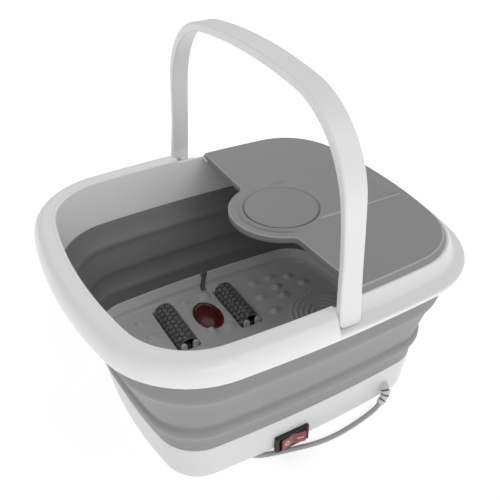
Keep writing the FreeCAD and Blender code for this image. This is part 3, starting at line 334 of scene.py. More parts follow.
# name, colour, roughness, grain, mottle and any further values
LOOKS = [
    ("rim_white", grey(0.83), 0.30, 0.03, 0.008, {"coat": 0.15}),
    ("base_white", grey(0.68), 0.34, 0.04, 0.008, {"coat": 0.1}),
    ("handle_white", grey(0.80), 0.32, 0.03, 0.008, {"coat": 0.1}),
    # lighter white of the rim's inner faces is painted light
    ("inside_white_painted_light", grey(0.94), 0.50, 0.05, 0.01, {}),
    ("inner_white", grey(0.50), 0.45, 0.08, 0.02, {}),
    ("soft_grey", grey(0.245), 0.62, 0.20, 0.035, {"sheen": 0.15, **SOFT}),
    # darker grey of the wall's inside is painted shade
    ("soft_inner_shaded", grey(0.20), 0.55, 0.20, 0.05, {"sheen": 0.1, **SOFT}),
    ("tub_white", grey(0.68), 0.42, 0.08, 0.02, {}),
    # lighter white of the tub's wall is painted light
    ("tub_wall_lightened", grey(0.85), 0.42, 0.06, 0.015, {}),
    ("ripple_grey", grey(0.62), 0.42, 0.08, 0.03, {}),
    # near black of the roller's grooves and recesses is painted shade
    ("roller_gap_shade", grey(0.03), 0.6, 0.10, 0.05, {}),
    ("lens_edge", (0.13, 0.035, 0.02), 0.3, 0.03, 0.2, {"coat": 0.3, **GLASSY}),
    ("mark_white", (0.75, 0.72, 0.70), 0.45, 0.05, 0.03, {}),
    ("fork_white", (0.74, 0.74, 0.72), 0.40, 0.05, 0.02, {}),
    ("lid_grey", grey(0.27), 0.42, 0.10, 0.015, {}),
    ("disc_grey", grey(0.25), 0.36, 0.06, 0.015, {}),
    ("roller_dark", grey(0.20), 0.48, 0.12, 0.05, {}),
    ("black_plastic", grey(0.008), 0.5, 0.10, 0.05, {}),
    ("black_rubber", grey(0.03), 0.75, 0.25, 0.08, {}),
    ("red_lens", (0.115, 0.006, 0.004), 0.16, 0.02, 0.30, {"coat": 0.6, **GLASSY}),
    ("rocker_red", (0.20, 0.012, 0.010), 0.25, 0.03, 0.10, {"coat": 0.4}),
    ("cord_grey", grey(0.33), 0.50, 0.18, 0.03, CABLE),
    # lighter grey of the lid's edges is a painted highlight
    ("lid_edge_highlight", grey(0.42), 0.30, 0.04, 0.01, {"coat": 0.2}),
    # dark grey of the wall channel and the boot's grooves is painted shade
    ("groove_shade_grey", grey(0.16), 0.5, 0.08, 0.03, {}),
    ("boot_grey", grey(0.60), 0.45, 0.15, 0.04, CABLE),
    ("steel", (0.62, 0.62, 0.63), 0.30, 0.10, 0.03, {"metallic": 1.0}),
    ("brass", (0.70, 0.52, 0.26), 0.28, 0.08, 0.04, {"metallic": 1.0}),
    ("board", (0.03, 0.15, 0.06), 0.45, 0.10, 0.08, {}),
    ("hose", (0.70, 0.72, 0.72), 0.35, 0.05, 0.02, {"transmission": 0.3}),
    ("led", (0.60, 0.20, 0.16), 0.20, 0.02, 0.05, {"coat": 0.5}),
    ("vent_grey", grey(0.11), 0.5, 0.10, 0.04, {}),
    ("floor_pale", grey(0.90), 0.9, 0.0, 0.002, {}),
]
for name, color, roughness, grain, mottle, more in LOOKS:
    node_material(name, color, roughness, grain, mottle, **more)


def paint(piece, name):
    piece.data.materials.clear()
    piece.data.materials.append(MATERIALS[name])
    return piece


def paint_where(piece, name, chosen):
    """Adds a further material and gives it to the faces that the test picks."""
    piece.data.materials.append(MATERIALS[name])
    for face in piece.data.polygons:
        face.material_index = 1 if chosen(face) else 0
    return piece


def place(piece, body, material, slot, *nodes):
    """Gives a new piece its material, its body and the solids it stands for; the record slot is not used."""
    paint(piece, material)
    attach(piece, body)
    if nodes:
        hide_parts(*nodes)
    return piece


# solids of the frame that stay visible as they are
NODE_LOOKS = {
    "sensor_cap": "inner_white", "vent_insert": "vent_grey", "bottom_cover": "base_white",
    "rubber_feet": "black_rubber", "cover_screws": "steel", "handle_pins": "rim_white",
    "lid_pads": "black_rubber", "lens_seals": "black_rubber", "lamp_boards": "board", "lamp_leds": "led",
    "heater_plate": "steel", "heater_element": "steel", "thermal_cutout": "steel",
    "air_pump": "black_plastic", "pump_mounts": "black_rubber", "air_tube": "hose",
    "control_board": "board", "board_parts": "black_plastic", "board_posts": "brass",
    "switch_body": "black_plastic", "cord_tie": "black_rubber", "plug_body": "cord_grey",
    "plug_pins": "brass", "cord_clamp": "base_white",
}
for node, look in NODE_LOOKS.items():
    paint(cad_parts[node], look)

# ---- mains cord
CORD_DIAMETER, CORD_GAP = 5.5, 0.05
REST_Z = CORD_DIAMETER / 2 + CORD_GAP
CORD_START = (98.2, -135.1, 9.9)
FLOOR_ROUTE = [
    (86.2, -136.0), (70.0, -138.8), (49.0, -141.2), (28.0, -142.0), (6.5, -139.8), (-15.0, -134.4),
    (-36.5, -128.6), (-57.0, -121.6), (-72.5, -105.4), (-81.0, -82.6), (-84.0, -57.6), (-83.0, -32.0),
    (-79.0, -5.0), (-72.0, 22.0), (-62.5, 48.5), (-51.0, 75.0), (-39.0, 101.0), (-28.0, 128.0),
    (-15.0, 152.0), (4.0, 170.0), (27.0, 179.5),
]
CORD_ROUTE = [CORD_START, (94.2, -135.6, 5.6)] + [(x, y, REST_Z) for x, y in FLOOR_ROUTE]
TAIL_ROUTE = [(67.0, 195.0, REST_Z), (81.0, 205.0, REST_Z), (95.0, 219.0, REST_Z), (112.0, 227.0, REST_Z),
              (129.0, 225.6, 4.4), (143.0, 217.2, 7.6)]
COIL_CENTRE = (37.0, 210.0)
COIL_RADII = (35.6, 30.0, 24.4)
COIL_LAYERS = (3.45, 9.0)
COIL_STEPS = 14
CORD_SHARP = 60.0


def coil_points():
    """Three turns inwards on the lower layer, then three outwards on top of them."""
    enter_x, enter_y = FLOOR_ROUTE[-1]
    angle = math.atan2(enter_y - COIL_CENTRE[1], enter_x - COIL_CENTRE[0])
    points = []
    total = COIL_STEPS * len(COIL_RADII)
    last = len(COIL_RADII) - 1
    for z, radii in zip(COIL_LAYERS, (COIL_RADII, COIL_RADII[::-1])):
        for step in range(total):
            share = (step + 0.5) / total * last
            low = int(share)
            radius = radii[low] + (radii[min(low + 1, last)] - radii[low]) * (share - low)
            angle += 2 * math.pi / COIL_STEPS
            x = COIL_CENTRE[0] + radius * math.cos(angle)
            y = COIL_CENTRE[1] + radius * math.sin(angle)
            points.append((x, y, z))
    return points


def cord_curve():
    points = CORD_ROUTE + coil_points() + TAIL_ROUTE
    data = bpy.data.curves.new("mains_cord_line", "CURVE")
    data.dimensions = "3D"
    spline = data.splines.new("NURBS")
    spline.points.add(len(points) - 1)
    for target, (x, y, z) in zip(spline.points, points):
        target.co = (x * MM, y * MM, z * MM, 1.0)
    spline.order_u = 3
    spline.use_endpoint_u = True
    spline.resolution_u = 8
    return link("mains_cord_line", data)


def cord_tube():
    """Mesh tube along the route's own curve, and the points of that curve."""
    line = cord_curve()
    view = bpy.context.evaluated_depsgraph_get()
    thin = bpy.data.meshes.new_from_object(line.evaluated_get(view))
    path = [vertex.co.copy() for vertex in thin.vertices]
    line.data.bevel_depth = CORD_DIAMETER / 2 * MM
    line.data.bevel_resolution = 5
    line.data.use_fill_caps = True
    bpy.context.view_layer.update()
    view = bpy.context.evaluated_depsgraph_get()
    tube_mesh = bpy.data.meshes.new_from_object(line.evaluated_get(view))
    tube_mesh.name = "mains_cord"
    bpy.data.objects.remove(line)
    tube = link("mains_cord", tube_mesh)
    finish_shading(tube, CORD_SHARP, False)
    return tube, path


cord, cord_path = cord_tube()

# ---- light and floor
WHITE, WORLD_STRENGTH = (1.0, 1.0, 1.0, 1.0), 0.60
# name, place, target and size in metres, power in watts
LAMPS = [
    ("key", (1.6, -2.4, 3.2), (0.0, 0.0, 0.1), (2.2, 2.2), 17.0),
    ("front", (-0.3, -4.0, 1.9), (0.0, 0.0, 0.15), (2.0, 2.0), 25.0),
    ("back", (0.4, 2.8, 2.4), (0.0, 0.0, 0.2), (3.0, 1.6), 8.0),
]
FLOOR_REACH, FLOOR_GLOW = 4.0, 0.45


def area_light(name, spot, target, size, power):
    data = bpy.data.lights.new(name, "AREA")
    data.shape = "RECTANGLE"
    data.size, data.size_y = size
    data.energy = power
    lamp = bpy.data.objects.new(name, data)
    bpy.context.scene.collection.objects.link(lamp)
    lamp.location = spot
    aim = Vector(target) - Vector(spot)
    lamp.rotation_mode = "QUATERNION"
    lamp.rotation_quaternion = aim.to_track_quat("-Z", "Y")


def light_scene():
    world = bpy.data.worlds.new("studio")
    bpy.context.scene.world = world
    world.use_nodes = True
    set_inputs(world.node_tree.nodes["Background"], {"Color": WHITE, "Strength": WORLD_STRENGTH})
    for lamp in LAMPS:
        area_light(*lamp)
    bpy.context.scene.view_settings.view_transform = "Standard"
    bpy.context.scene.view_settings.look = "None"


def add_floor():
    mesh = bpy.data.meshes.new("floor")
    corners = [(x * FLOOR_REACH, y * FLOOR_REACH, 0.0) for x, y in ((-1, -1), (1, -1), (1, 1), (-1, 1))]
    mesh.from_pydata(corners, [], [(0, 1, 2, 3)])
    floor = link("floor", mesh)
    paint(floor, "floor_pale")
    shader = MATERIALS["floor_pale"].node_tree.nodes["Principled BSDF"]
    set_inputs(shader, {"Emission Color": WHITE, "Emission Strength": FLOOR_GLOW})


light_scene()
add_floor()

# ---- rim
LIP = [(1.6, 193.9), (0.6, 194.2), (0.2, 195.4), (0.0, 197.4)]
BAND_OUTSIDE = LIP + [
    (0.2, 200.2), (1.0, 204.2), (3.0, 209.0), (5.4, 212.2), (8.4, 214.3), (12.3, 215.15), (17.0, 215.1),
    (20.4, 214.9),
]
INNER_EDGE = [(21.0, 214.1), (23.3, 214.1), (24.2, 213.7), (24.4, 212.6)]
SKIRT = [
    (24.2, 205.0), (23.6, 190.0), (22.1, 158.0), (21.6, 157.1), (20.6, 157.0), (20.1, 158.0), (20.0, 190.0),
]
BAND_UNDERSIDE = [
    (18.0, 207.0), (14.0, 212.0), (9.5, 211.8), (5.6, 207.5), (3.6, 200.0), (3.9, 194.2), (3.2, 193.9),
]
SHOULDER_OUTSIDE = [(inset, inset, z) for inset, z in LIP] + [
    (0.2, 0.2, 198.2), (0.8, 1.0, 198.8), (1.8, 2.8, 198.9), (3.4, 6.0, 198.7), (5.0, 11.5, 198.6),
    (5.9, 15.2, 199.0), (7.0, 17.6, 201.2), (12.2, 23.4, 209.8),
]
SHOULDER_UNDERSIDE = [(19.0, 196.4), (10.0, 196.0), (4.2, 195.8), (3.9, 194.2), (3.2, 193.9)]
POCKET = LIP + [
    (0.2, 198.2), (1.0, 199.1), (2.8, 199.4), (5.0, 198.9), (6.6, 198.6), (18.5, 198.6), (18.7, 199.0),
    (18.7, 210.3), (19.3, 210.9), (23.7, 210.9), (24.4, 210.2),
]
SHOULDER_TOP = [(13.0, 24.2, 210.7), (14.0, 24.4, 210.8), (24.4, 24.4, 209.0)]
LEDGE = [
    (14.0, 24.4, 210.6), (14.6, 25.0, 210.8), (28.6, 35.6, 210.8), (29.0, 36.0, 210.3), (29.0, 36.0, 208.6),
    (28.6, 35.6, 208.3), (21.0, 23.6, 208.3), (16.0, 23.6, 209.4),
]
POCKET_END, POCKET_COLUMNS, LEDGE_START = 20.1, 6, 30.5
BAND_SLANT, SLANT_START, SLANT_REACH = 6.5, 5.0, 13.0
RIM_SHARP, SATIN_AND_LIGHT_TOP = 32.0, 213.5


def band_end(inset):
    """The raised band is cut off at a slant where the handle's foot stands."""
    return BAND_END - BAND_SLANT * (1 - clamp((inset - SLANT_START) / SLANT_REACH))


def rim_part(name, rings):
    return loft(name, rings, closed_ring=False, closed_profile=True, caps=True, sharp=RIM_SHARP)


def rim_left():
    profile = smooth_curve(BAND_OUTSIDE, 4) + INNER_EDGE + SKIRT + BAND_UNDERSIDE
    rings = [at_height(plan_half(inset, inset, -1, band_end(inset)), z) for inset, z in profile]
    return rim_part("rim_band", rings)


def rim_right():
    profile = smooth_curve(SHOULDER_OUTSIDE, 3) + SHOULDER_TOP
    profile += [(inset, inset, z) for inset, z in SKIRT + SHOULDER_UNDERSIDE]
    rings = [at_height(plan_half(ix, iy, 1, POCKET_END), z) for ix, iy, z in profile]
    return rim_part("rim_shoulder", rings)


def rim_pocket(name, side):
    """Stretch of the rim under one foot of the handle, with the recess that the foot turns in."""
    rings = []
    middle = HALF_WIDTH - LONG_SIDE
    for inset, z in POCKET + SKIRT + SHOULDER_UNDERSIDE:
        radius = LONG_SIDE - inset
        start = band_end(inset)
        reach = POCKET_END - start
        columns = [start + reach * step / POCKET_COLUMNS for step in range(POCKET_COLUMNS + 1)]
        rings.append([(x, side * (middle + math.sqrt(radius**2 - x**2)), z) for x in columns])
    return rim_part(name, rings)


def lid_ledge():
    """Seat of the half lid round the covered end."""
    return rim_part("lid_ledge", [at_height(plan_half(ix, iy, 1, LEDGE_START), z) for ix, iy, z in LEDGE])


def faces_tub(face):
    """True on the wall that faces into the tub, which has a softer finish and a lighter white painted on as
    light for its shaded side.
    """
    spot = face.center / MM
    faces_in = face.normal.x * spot.x + face.normal.y * spot.y < 0
    return faces_in and spot.z < SATIN_AND_LIGHT_TOP and abs(face.normal.z) < 0.5


RIM_PARTS = [rim_left(), rim_right(), rim_pocket("rim_pocket_far", 1), rim_pocket("rim_pocket_near", -1),
             lid_ledge()]
for piece in RIM_PARTS:
    stands_for = ["rim_frame"] if piece.name == "rim_band" else []
    place(piece, "rim", "rim_white", "white_gloss", *stands_for)
    # faces into the tub get a lighter white: painted light on the shaded inside of the rim
    paint_where(piece, "inside_white_painted_light", faces_tub)

# ---- soft wall
WALL_OUTSIDE = [
    (48.4, 57.3), (47.4, 63.0), (45.9, 71.0), (43.2, 79.5), (39.4, 85.0), (38.2, 90.0), (38.6, 95.0),
    (40.4, 99.5), (37.8, 107.0), (33.2, 120.0), (28.8, 133.0), (23.2, 147.0), (17.6, 157.0), (17.5, 170.0),
    (17.5, 192.0),
]
WALL_INSIDE = [
    (19.9, 192.0), (19.9, 157.6), (22.0, 156.9), (26.0, 147.0), (30.6, 138.8), (34.4, 134.4), (35.4, 131.0),
    (35.4, 126.5), (37.0, 120.0), (41.0, 108.0), (43.2, 100.5), (42.2, 95.0), (42.2, 90.0), (43.6, 84.6),
    (46.2, 79.8), (49.2, 76.2), (50.4, 73.4), (50.6, 69.0), (50.9, 64.0), (52.2, 57.3),
]


def soft_wall():
    outside = smooth_curve(WALL_OUTSIDE, 4)
    inside_rows = smooth_curve(WALL_INSIDE, 4)
    rings = [wall_ring(inset, z) for inset, z in outside + inside_rows]
    piece = paint(loft("soft_wall", rings, closed_profile=True, sharp=60.0, weighted=False), "soft_grey")
    columns = len(rings[0])
    # inside faces of the wall get a darker grey: painted shade inside the basin
    return paint_where(piece, "soft_inner_shaded", lambda face: face.index // columns >= len(outside) - 1)


wall = soft_wall()
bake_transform(wall)
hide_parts("collapsible_wall", "wall_collar")

# ---- base shell
BASE_OUTSIDE = [
    (61.0, 7.2), (59.6, 7.0), (57.0, 7.5), (54.2, 9.4), (52.6, 12.2), (51.9, 16.0), (50.6, 31.0),
    (49.0, 49.0), (48.45, 56.2),
]
BASE_INSIDE = [
    (48.7, 57.1), (49.2, 57.3), (50.0, 57.3), (50.2, 56.0), (52.0, 35.5), (55.3, 12.2), (61.0, 12.0),
]


def base_shell():
    rings = [base_ring(inset, z) for inset, z in smooth_curve(BASE_OUTSIDE, 4) + BASE_INSIDE]
    return loft("base_skin", rings, closed_profile=True, sharp=36.0)


place(base_shell(), "base", "base_white", "white_gloss", "base_shell")

# ---- handle
PIVOT_X, PIVOT_Z, PIVOT_R = 7.6, 210.0, 10.3
ARCH_Z, ARCH_RISE, ARCH_REACH = 201.1, 202.0, 170.1
ARCH_CORNER, ARCH_SIDE, ARCH_TOP = 91.2, 1024.0, 604.0
HANDLE_HALF, THICK, THIN = 11.0, 7.0, 2.5
FOOT_POWER, FOOT_FLARE, HANDLE_SWELL = 3.2, 4.5, 2.6
WAIST_REACH, FLARE_LOW, FLARE_REACH = 95.0, 202.0, 70.0
BACK_LOW, BACK_REACH, BACK_WIDER = 204.0, 60.0, 0.32
TOP_LOW, TOP_HIGH, TOP_WIDER = 290.0, 350.0, 0.06
ARCH_MIDDLE = ARCH_Z + 60.0
ARCH_STEPS = (22, 18, 14)
EDGE_ROUND, EDGE_SHARE, INNER_ROUND = 1.5, 0.14, 0.7
ARCH_SHARES = [0.2, 0.45, 0.66, 0.80, 0.89, 0.95, 0.985, 1.0]


def arch_path(inset, x):
    """From the far foot over the top to the near foot; the feet are squarish rounds in side view."""
    share_x = min(abs(x - PIVOT_X) / HANDLE_HALF, 1.0)
    foot = PIVOT_Z - PIVOT_R * (1 - share_x**FOOT_POWER) ** (1 / FOOT_POWER)
    outline = half_oval(ARCH_RISE - inset, ARCH_REACH - inset, ARCH_CORNER - inset, ARCH_SIDE - inset,
                        ARCH_TOP - inset, 1, foot - ARCH_Z, ARCH_STEPS)
    path = []
    for up, across in outline:
        z = ARCH_Z + up
        share = clamp((z - PIVOT_Z) / WAIST_REACH)
        squeeze = (PIVOT_R + (HANDLE_HALF - PIVOT_R) * share) / HANDLE_HALF
        if x < PIVOT_X:
            squeeze += BACK_WIDER * (1 - clamp((z - BACK_LOW) / BACK_REACH))
        depth = HANDLE_SWELL * inset / THICK * ease(z, TOP_LOW, TOP_HIGH)
        away = math.hypot(across, z - ARCH_MIDDLE)
        z -= depth * (z - ARCH_MIDDLE) / away
        across -= depth * across / away
        squeeze += TOP_WIDER * ease(z, TOP_LOW, TOP_HIGH)
        flare = FOOT_FLARE * (1 - clamp((z - FLARE_LOW) / FLARE_REACH)) ** 2
        path.append((PIVOT_X + (x - PIVOT_X) * squeeze, across + math.copysign(flare, across), z))
    return path


def handle_mesh():
    """Outer face from the back edge to the front edge, then the inner face back again."""
    shares = [-share for share in reversed(ARCH_SHARES)] + [0.0] + ARCH_SHARES
    outer, inner = [], []
    for share in shares:
        x = PIVOT_X + share * HANDLE_HALF
        thickness = THICK + (THIN - THICK) * (share + 1) / 2
        round_off = EDGE_ROUND * max(0.0, 1 - (1.0 - abs(share)) / EDGE_SHARE) ** 2
        outer.append((x, round_off))
        inner.append((x, thickness - INNER_ROUND * round_off))
    profile = outer + inner[::-1]
    rings = [arch_path(inset, x) for x, inset in profile]
    points, faces = quads(rings, closed_ring=False, closed_profile=True)
    count, steps = len(profile), len(rings[0])
    for row in range(count // 2 - 1):
        other = count - 1 - row
        corners = (row * steps, (row + 1) * steps, (other - 1) * steps, other * steps)
        for end in (0, steps - 1):
            faces.append(tuple(corner + end for corner in corners))
    return mesh_piece("carry_handle", points, faces, sharp=38.0)


place(handle_mesh(), "bail", "handle_white", "white_handle", "handle")

# ---- filled surfaces


def fill(boundary, height, loops=(), lines=(), spots=(), keep=None):
    """Triangles inside a flat boundary that follow loops and lines, raised by a height function."""
    flat, edges = [], []
    for ring in [boundary, *loops]:
        first, count = len(flat), len(ring)
        edges += [(first + step, first + (step + 1) % count) for step in range(count)]
        flat += ring
    for line in lines:
        edges.append((len(flat), len(flat) + 1))
        flat += line
    flat += spots
    outline = [list(range(len(boundary)))]
    verts, _, faces, *_ = delaunay_2d_cdt([Vector(point) for point in flat], edges, outline, 1, 1e-4)
    kept = []
    for face in faces:
        centre = sum((verts[corner] for corner in face), Vector((0.0, 0.0))) / len(face)
        if keep is None or keep(centre.x, centre.y):
            kept.append(tuple(face))
    return [(point.x, point.y, height(point.x, point.y)) for point in verts], kept


def grid(x0, x1, y0, y1, pitch):
    """Points in staggered rows."""
    columns = range(int((x1 - x0) / pitch) + 1)
    rows = range(int((y1 - y0) / pitch) + 1)
    return [(x0 + pitch * (i + 0.5 * (j % 2)), y0 + pitch * j) for i in columns for j in rows]


def inside(ring, x, y):
    """True where the point lies within the closed ring."""
    hit = False
    for (ax, ay), (bx, by) in zip(ring, ring[1:] + ring[:1]):
        if (ay > y) != (by > y) and x < (bx - ax) * (y - ay) / (by - ay) + ax:
            hit = not hit
    return hit


# ---- half lid
LID_END, LID_SIDE = 15.5, 26.3
EDGE_X, EDGE_BOW = 27.6, 2732.0
TONGUE_X, TONGUE_R, NECK_R = 44.9, 57.0, 10.0
LID_LEVEL, LID_UNDER = 216.3, 211.2
LID_CORNER, LID_CORNER_LEAST, SIDE_GAP, NECK_SHIFT = 3.2, 0.4, 0.35, 0.66
CORNER_STEPS, EDGE_STEPS, NECK_STEPS, TONGUE_STEPS = 6, 14, 8, 40
CORNER_DROP, DROP_REACH = 0.2, 0.12
# insets of the outer edge and of the free edge, then the height of each, from the underside to the top
LID_ROWS = [
    (13.0, 9.5, 211.2, 211.2), (4.0, 2.3, 211.0, 211.0), (3.0, 2.2, 211.0, 209.2), (1.0, 1.7, 211.0, 208.8),
    (0.4, 0.4, 211.0, 208.8), (0.0, 0.0, 211.4, 209.2), (0.2, 0.0, 212.0, 212.0), (2.0, 0.0, 213.8, 214.4),
    (3.8, 0.1, 215.3, 215.5), (4.3, 0.5, 215.95, 216.0), (4.9, 1.1, 216.3, 216.28), (5.6, 1.9, 216.32, 216.3),
    (6.6, 3.0, 216.12, 216.1), (9.0, 5.0, 216.18, 216.18), (13.0, 9.5, LID_LEVEL, LID_LEVEL),
]
BAND_FOOT, BAND_TURN, TURN_SPAN = -4.0, 30.0, (5.0, 45.0)
BAND_STEP, BAND_FADE = 8.0, (168.0, 178.0)
BAND_NEAR, BAND_FAR, BAND_RISE = (-41.6, -40.0), (48.5, 52.0), 1.5
RIDGE_Y, RIDGE_RISE, RIDGE_WIDTH = -39.6, 0.6, 0.9
RING_SLOPE, RING_RISE = (43.6, 50.0), 1.05
LIP_R, LIP_RISE = 43.4, 0.35
GROOVE_R, GROOVE_SLOPE, GROOVE_TOP, GROOVE_DEPTH = 42.3, (40.6, 42.2), 1.1, 2.3
RING_LOOPS = (40.4, 41.0, 41.6, 42.2, 42.8, 43.4, 44.0, 45.2)
BAND_LINES = (-41.4, -40.8, -40.2, -39.6, -39.0, -38.4, -37.4, 48.2, 49.4, 50.4, 51.4, 52.4)
LINE_START, LINE_END = 60.0, 179.0
LID_GRID = (-6.0, 184.0, -150.0, 150.0, 4.2)
BRIGHT_Y, BRIGHT_X, BRIGHT_Z, BRIGHT_TILT = (-42.5, -37.0), TONGUE_X + 30, (215.2, 216.4), (0.30, 0.97)
FAR_WIDER, WIDER_START, WIDER_END = 4.5, 60.0, 150.0


def lid_ring(rim_in, edge_in, z_rim, z_edge):
    """Closed ring round the lid, clockwise; the outer edge and the free edge have heights of their own."""
    bow_x = EDGE_X + EDGE_BOW
    bow = EDGE_BOW - edge_in

    def free_x(y):
        return bow_x - math.sqrt(bow**2 - y**2)

    corner = max(LID_CORNER - edge_in, LID_CORNER_LEAST)
    side_y = HALF_WIDTH - LID_SIDE - rim_in - SIDE_GAP
    meet_x = free_x(side_y)
    rim = at_height(plan_half(LID_END + rim_in, LID_SIDE + rim_in, 1, meet_x + corner), z_rim)
    neck_x = EDGE_X + NECK_SHIFT - NECK_R
    neck_y = math.sqrt((TONGUE_R + NECK_R) ** 2 - (TONGUE_X - neck_x) ** 2)
    lean = math.atan2(neck_y, TONGUE_X - neck_x)
    drop = z_edge - z_rim
    half = []
    for step in range(1, CORNER_STEPS):
        t = step / CORNER_STEPS
        x = meet_x + corner * (1 - t) ** 2
        y = -side_y + corner * t**2
        half.append((x, y, z_rim + drop * t * CORNER_DROP))
    for step in range(EDGE_STEPS + 1):
        share = step / EDGE_STEPS
        y = -side_y + corner + (side_y - corner - neck_y) * share
        part = CORNER_DROP + (1 - CORNER_DROP) * ease(share, 0.0, DROP_REACH)
        half.append((free_x(y), y, z_rim + drop * part))
    reach = NECK_R + edge_in
    for step in range(1, NECK_STEPS + 1):
        angle = lean * step / NECK_STEPS
        half.append((neck_x + reach * math.cos(angle), -neck_y + reach * math.sin(angle), z_edge))
    tongue = []
    reach = TONGUE_R - edge_in
    for step in range(1, TONGUE_STEPS):
        angle = math.pi + lean - 2 * lean * step / TONGUE_STEPS
        tongue.append((TONGUE_X + reach * math.cos(angle), reach * math.sin(angle), z_edge))
    return rim + half + tongue + [(x, -y, z) for x, y, z in reversed(half)]


def bulge(value, middle, width):
    return math.exp(-(((value - middle) / width) ** 2))


def lid_height(x, y):
    """Top of the lid: a raised band from the tongue to the rim, and a ring groove round the disc."""
    away = math.hypot(x - TONGUE_X, y)
    if away < GROOVE_R:
        return LID_LEVEL + GROOVE_TOP - GROOVE_DEPTH * (1 - ease(away, *GROOVE_SLOPE))
    start = TONGUE_X + BAND_FOOT + BAND_TURN * ease(y, *TURN_SPAN)
    in_band = ease(x, start, start + BAND_STEP) * (1 - ease(x, *BAND_FADE))
    across = ease(y, *BAND_NEAR) * (1 - ease(y, *BAND_FAR))
    band = in_band * (across * BAND_RISE + RIDGE_RISE * bulge(y, RIDGE_Y, RIDGE_WIDTH))
    ring = RING_RISE * (1 - ease(away, *RING_SLOPE)) + LIP_RISE * bulge(away, LIP_R, RIDGE_WIDTH)
    return LID_LEVEL + max(band, ring)


def painted_highlight_edge(face):
    """True on the sloping edges of the lid and along the near line of its band, where a highlight is painted
    in a lighter grey.
    """
    spot = face.center / MM
    on_line = BRIGHT_Y[0] < spot.y < BRIGHT_Y[1] and spot.x > BRIGHT_X
    on_edge = on_line or spot.z < BRIGHT_Z[1]
    return on_edge and spot.z > BRIGHT_Z[0] and BRIGHT_TILT[0] < face.normal.z < BRIGHT_TILT[1]


def half_lid():
    rings = [lid_ring(*row) for row in LID_ROWS]
    edge = [(x, y) for x, y, _ in rings[-1]]
    loops = [circle((TONGUE_X, 0.0), radius) for radius in RING_LOOPS]
    lines = [[(LINE_START, y), (LINE_END, y)] for y in BAND_LINES]
    spots = [spot for spot in grid(*LID_GRID) if inside(edge, *spot)]
    top = fill(edge, lid_height, loops, lines, spots)
    under = fill(edge, lambda x, y: LID_UNDER)
    points, faces = merged([quads(rings), top, under])
    points = [(x, y + FAR_WIDER * ease(y, WIDER_START, WIDER_END), z) for x, y, z in points]
    return mesh_piece("half_lid_shell", points, faces, sharp=50.0, weighted=False)


lid = place(half_lid(), "half_lid", "lid_grey", "lid_grey", "lid_panel")
# sloping edges and the band's near line get a lighter grey: painted highlight
paint_where(lid, "lid_edge_highlight", painted_highlight_edge)


def turned(centre, profile, count=72):
    """Closed rings about a vertical line, from (radius, height) pairs."""
    return [at_height(circle(centre, radius, count), z) for radius, z in profile]


disc_rings = turned((TONGUE_X, 0.0), [
    (36.0, 215.2), (39.4, 215.2), (39.9, 215.5), (40.1, 216.8), (39.9, 217.15), (39.3, 217.35), (38.6, 217.4),
    (37.8, 217.38), (30.0, 217.4), (20.0, 217.42), (10.0, 217.44), (0.6, 217.45),
], 96)
lid_disc = loft("lid_disc_face", disc_rings, caps=True, sharp=35.0)
place(lid_disc, "half_lid", "disc_grey", "disc_grey", "lid_disc")

# ---- tub floor
ROLLER_X = (-58.6, 27.0)
ROLLER_Y, ROLLER_HALF = 68.5, 37.0
WELL_X, WELL_Y, WELL_FLOOR = 14.3, 41.4, 23.8
LENS_SPOTS = [(-13.5, 69.5), (-13.5, -69.5)]
LENS_X, LENS_Y = 17.4, 26.6
RIPPLE_X, RIPPLE_R = 115.0, 43.0
ROLLER_SPOTS = [(x, side * ROLLER_Y) for x in ROLLER_X for side in (1, -1)]
BUMPS = [
    (-118, 80), (-95, 96), (-92, 67), (-120, 46), (-96, 32), (-30, 106), (-24, 38), (1, 38), (68, 97),
    (93, 97), (116, 87), (127, 65), (91, 75), (63, 67), (90, 56), (64, 35),
]
BUMP_SPOTS = [(x, side * y) for x, y in BUMPS for side in (1, -1)]
BUMP_R, BUMP_TAIL, BUMP_RISE, BUMP_POWER = 7.0, 10.5, 4.6, 1.3
BUMP_CIRCLES = (1.5, 3.0, 4.5, 5.8, 7.0, 9.0)
FLOOR_GRID = (-140.0, 155.0, -120.0, 120.0, 7.0)
OPENING_GROW, FLOOR_INSET, WELL_CORNER = 1.0, 60.0, 3.0
TUB_CURVE = [
    (60.0, 38.0), (58.6, 38.2), (57.2, 39.0), (56.2, 40.8), (55.4, 44.0), (53.9, 50.5), (52.7, 56.2),
]
TUB_EDGE = [
    (52.3, 57.1), (51.8, 57.5), (50.9, 57.5), (50.4, 57.1), (50.6, 54.0), (51.9, 35.6), (56.0, 35.5),
]
WELL_ROWS = [(1.0, 38.0), (0.5, 37.9), (0.1, 37.5), (0.0, 36.8), (0.0, 25.2), (-0.4, 24.2), (-1.4, 23.8)]
LENS_SEAT = [(1.0, 38.0), (0.4, 37.8), (0.2, 37.2), (0.2, 35.5)]
TUB_WALL_LOW = 43.5


def well_ring(spot, grow):
    wide, high = WELL_X + grow, WELL_Y + grow
    corners = [(spot[0] + sx * wide, spot[1] + sy * high) for sx, sy in ((1, 1), (-1, 1), (-1, -1), (1, -1))]
    return rounded(corners, WELL_CORNER + grow, 4)


def lens_ring(spot, grow):
    wide, high = LENS_X + grow, LENS_Y + grow
    return [(spot[0] + wide * x, spot[1] + high * y) for x, y in circle((0.0, 0.0), 1.0, 48)]


def floor_height(x, y):
    """Flat floor with soft teardrop nubs, their tails towards the covered end."""
    rise = 0.0
    for bump_x, bump_y in BUMP_SPOTS:
        along = (x - bump_x) / (BUMP_TAIL if x > bump_x else BUMP_R)
        away = math.hypot(along, (y - bump_y) / BUMP_R)
        if away < 1.0:
            rise = max(rise, BUMP_RISE * (1 - away**2) ** BUMP_POWER)
    return FLOOR_TOP + rise


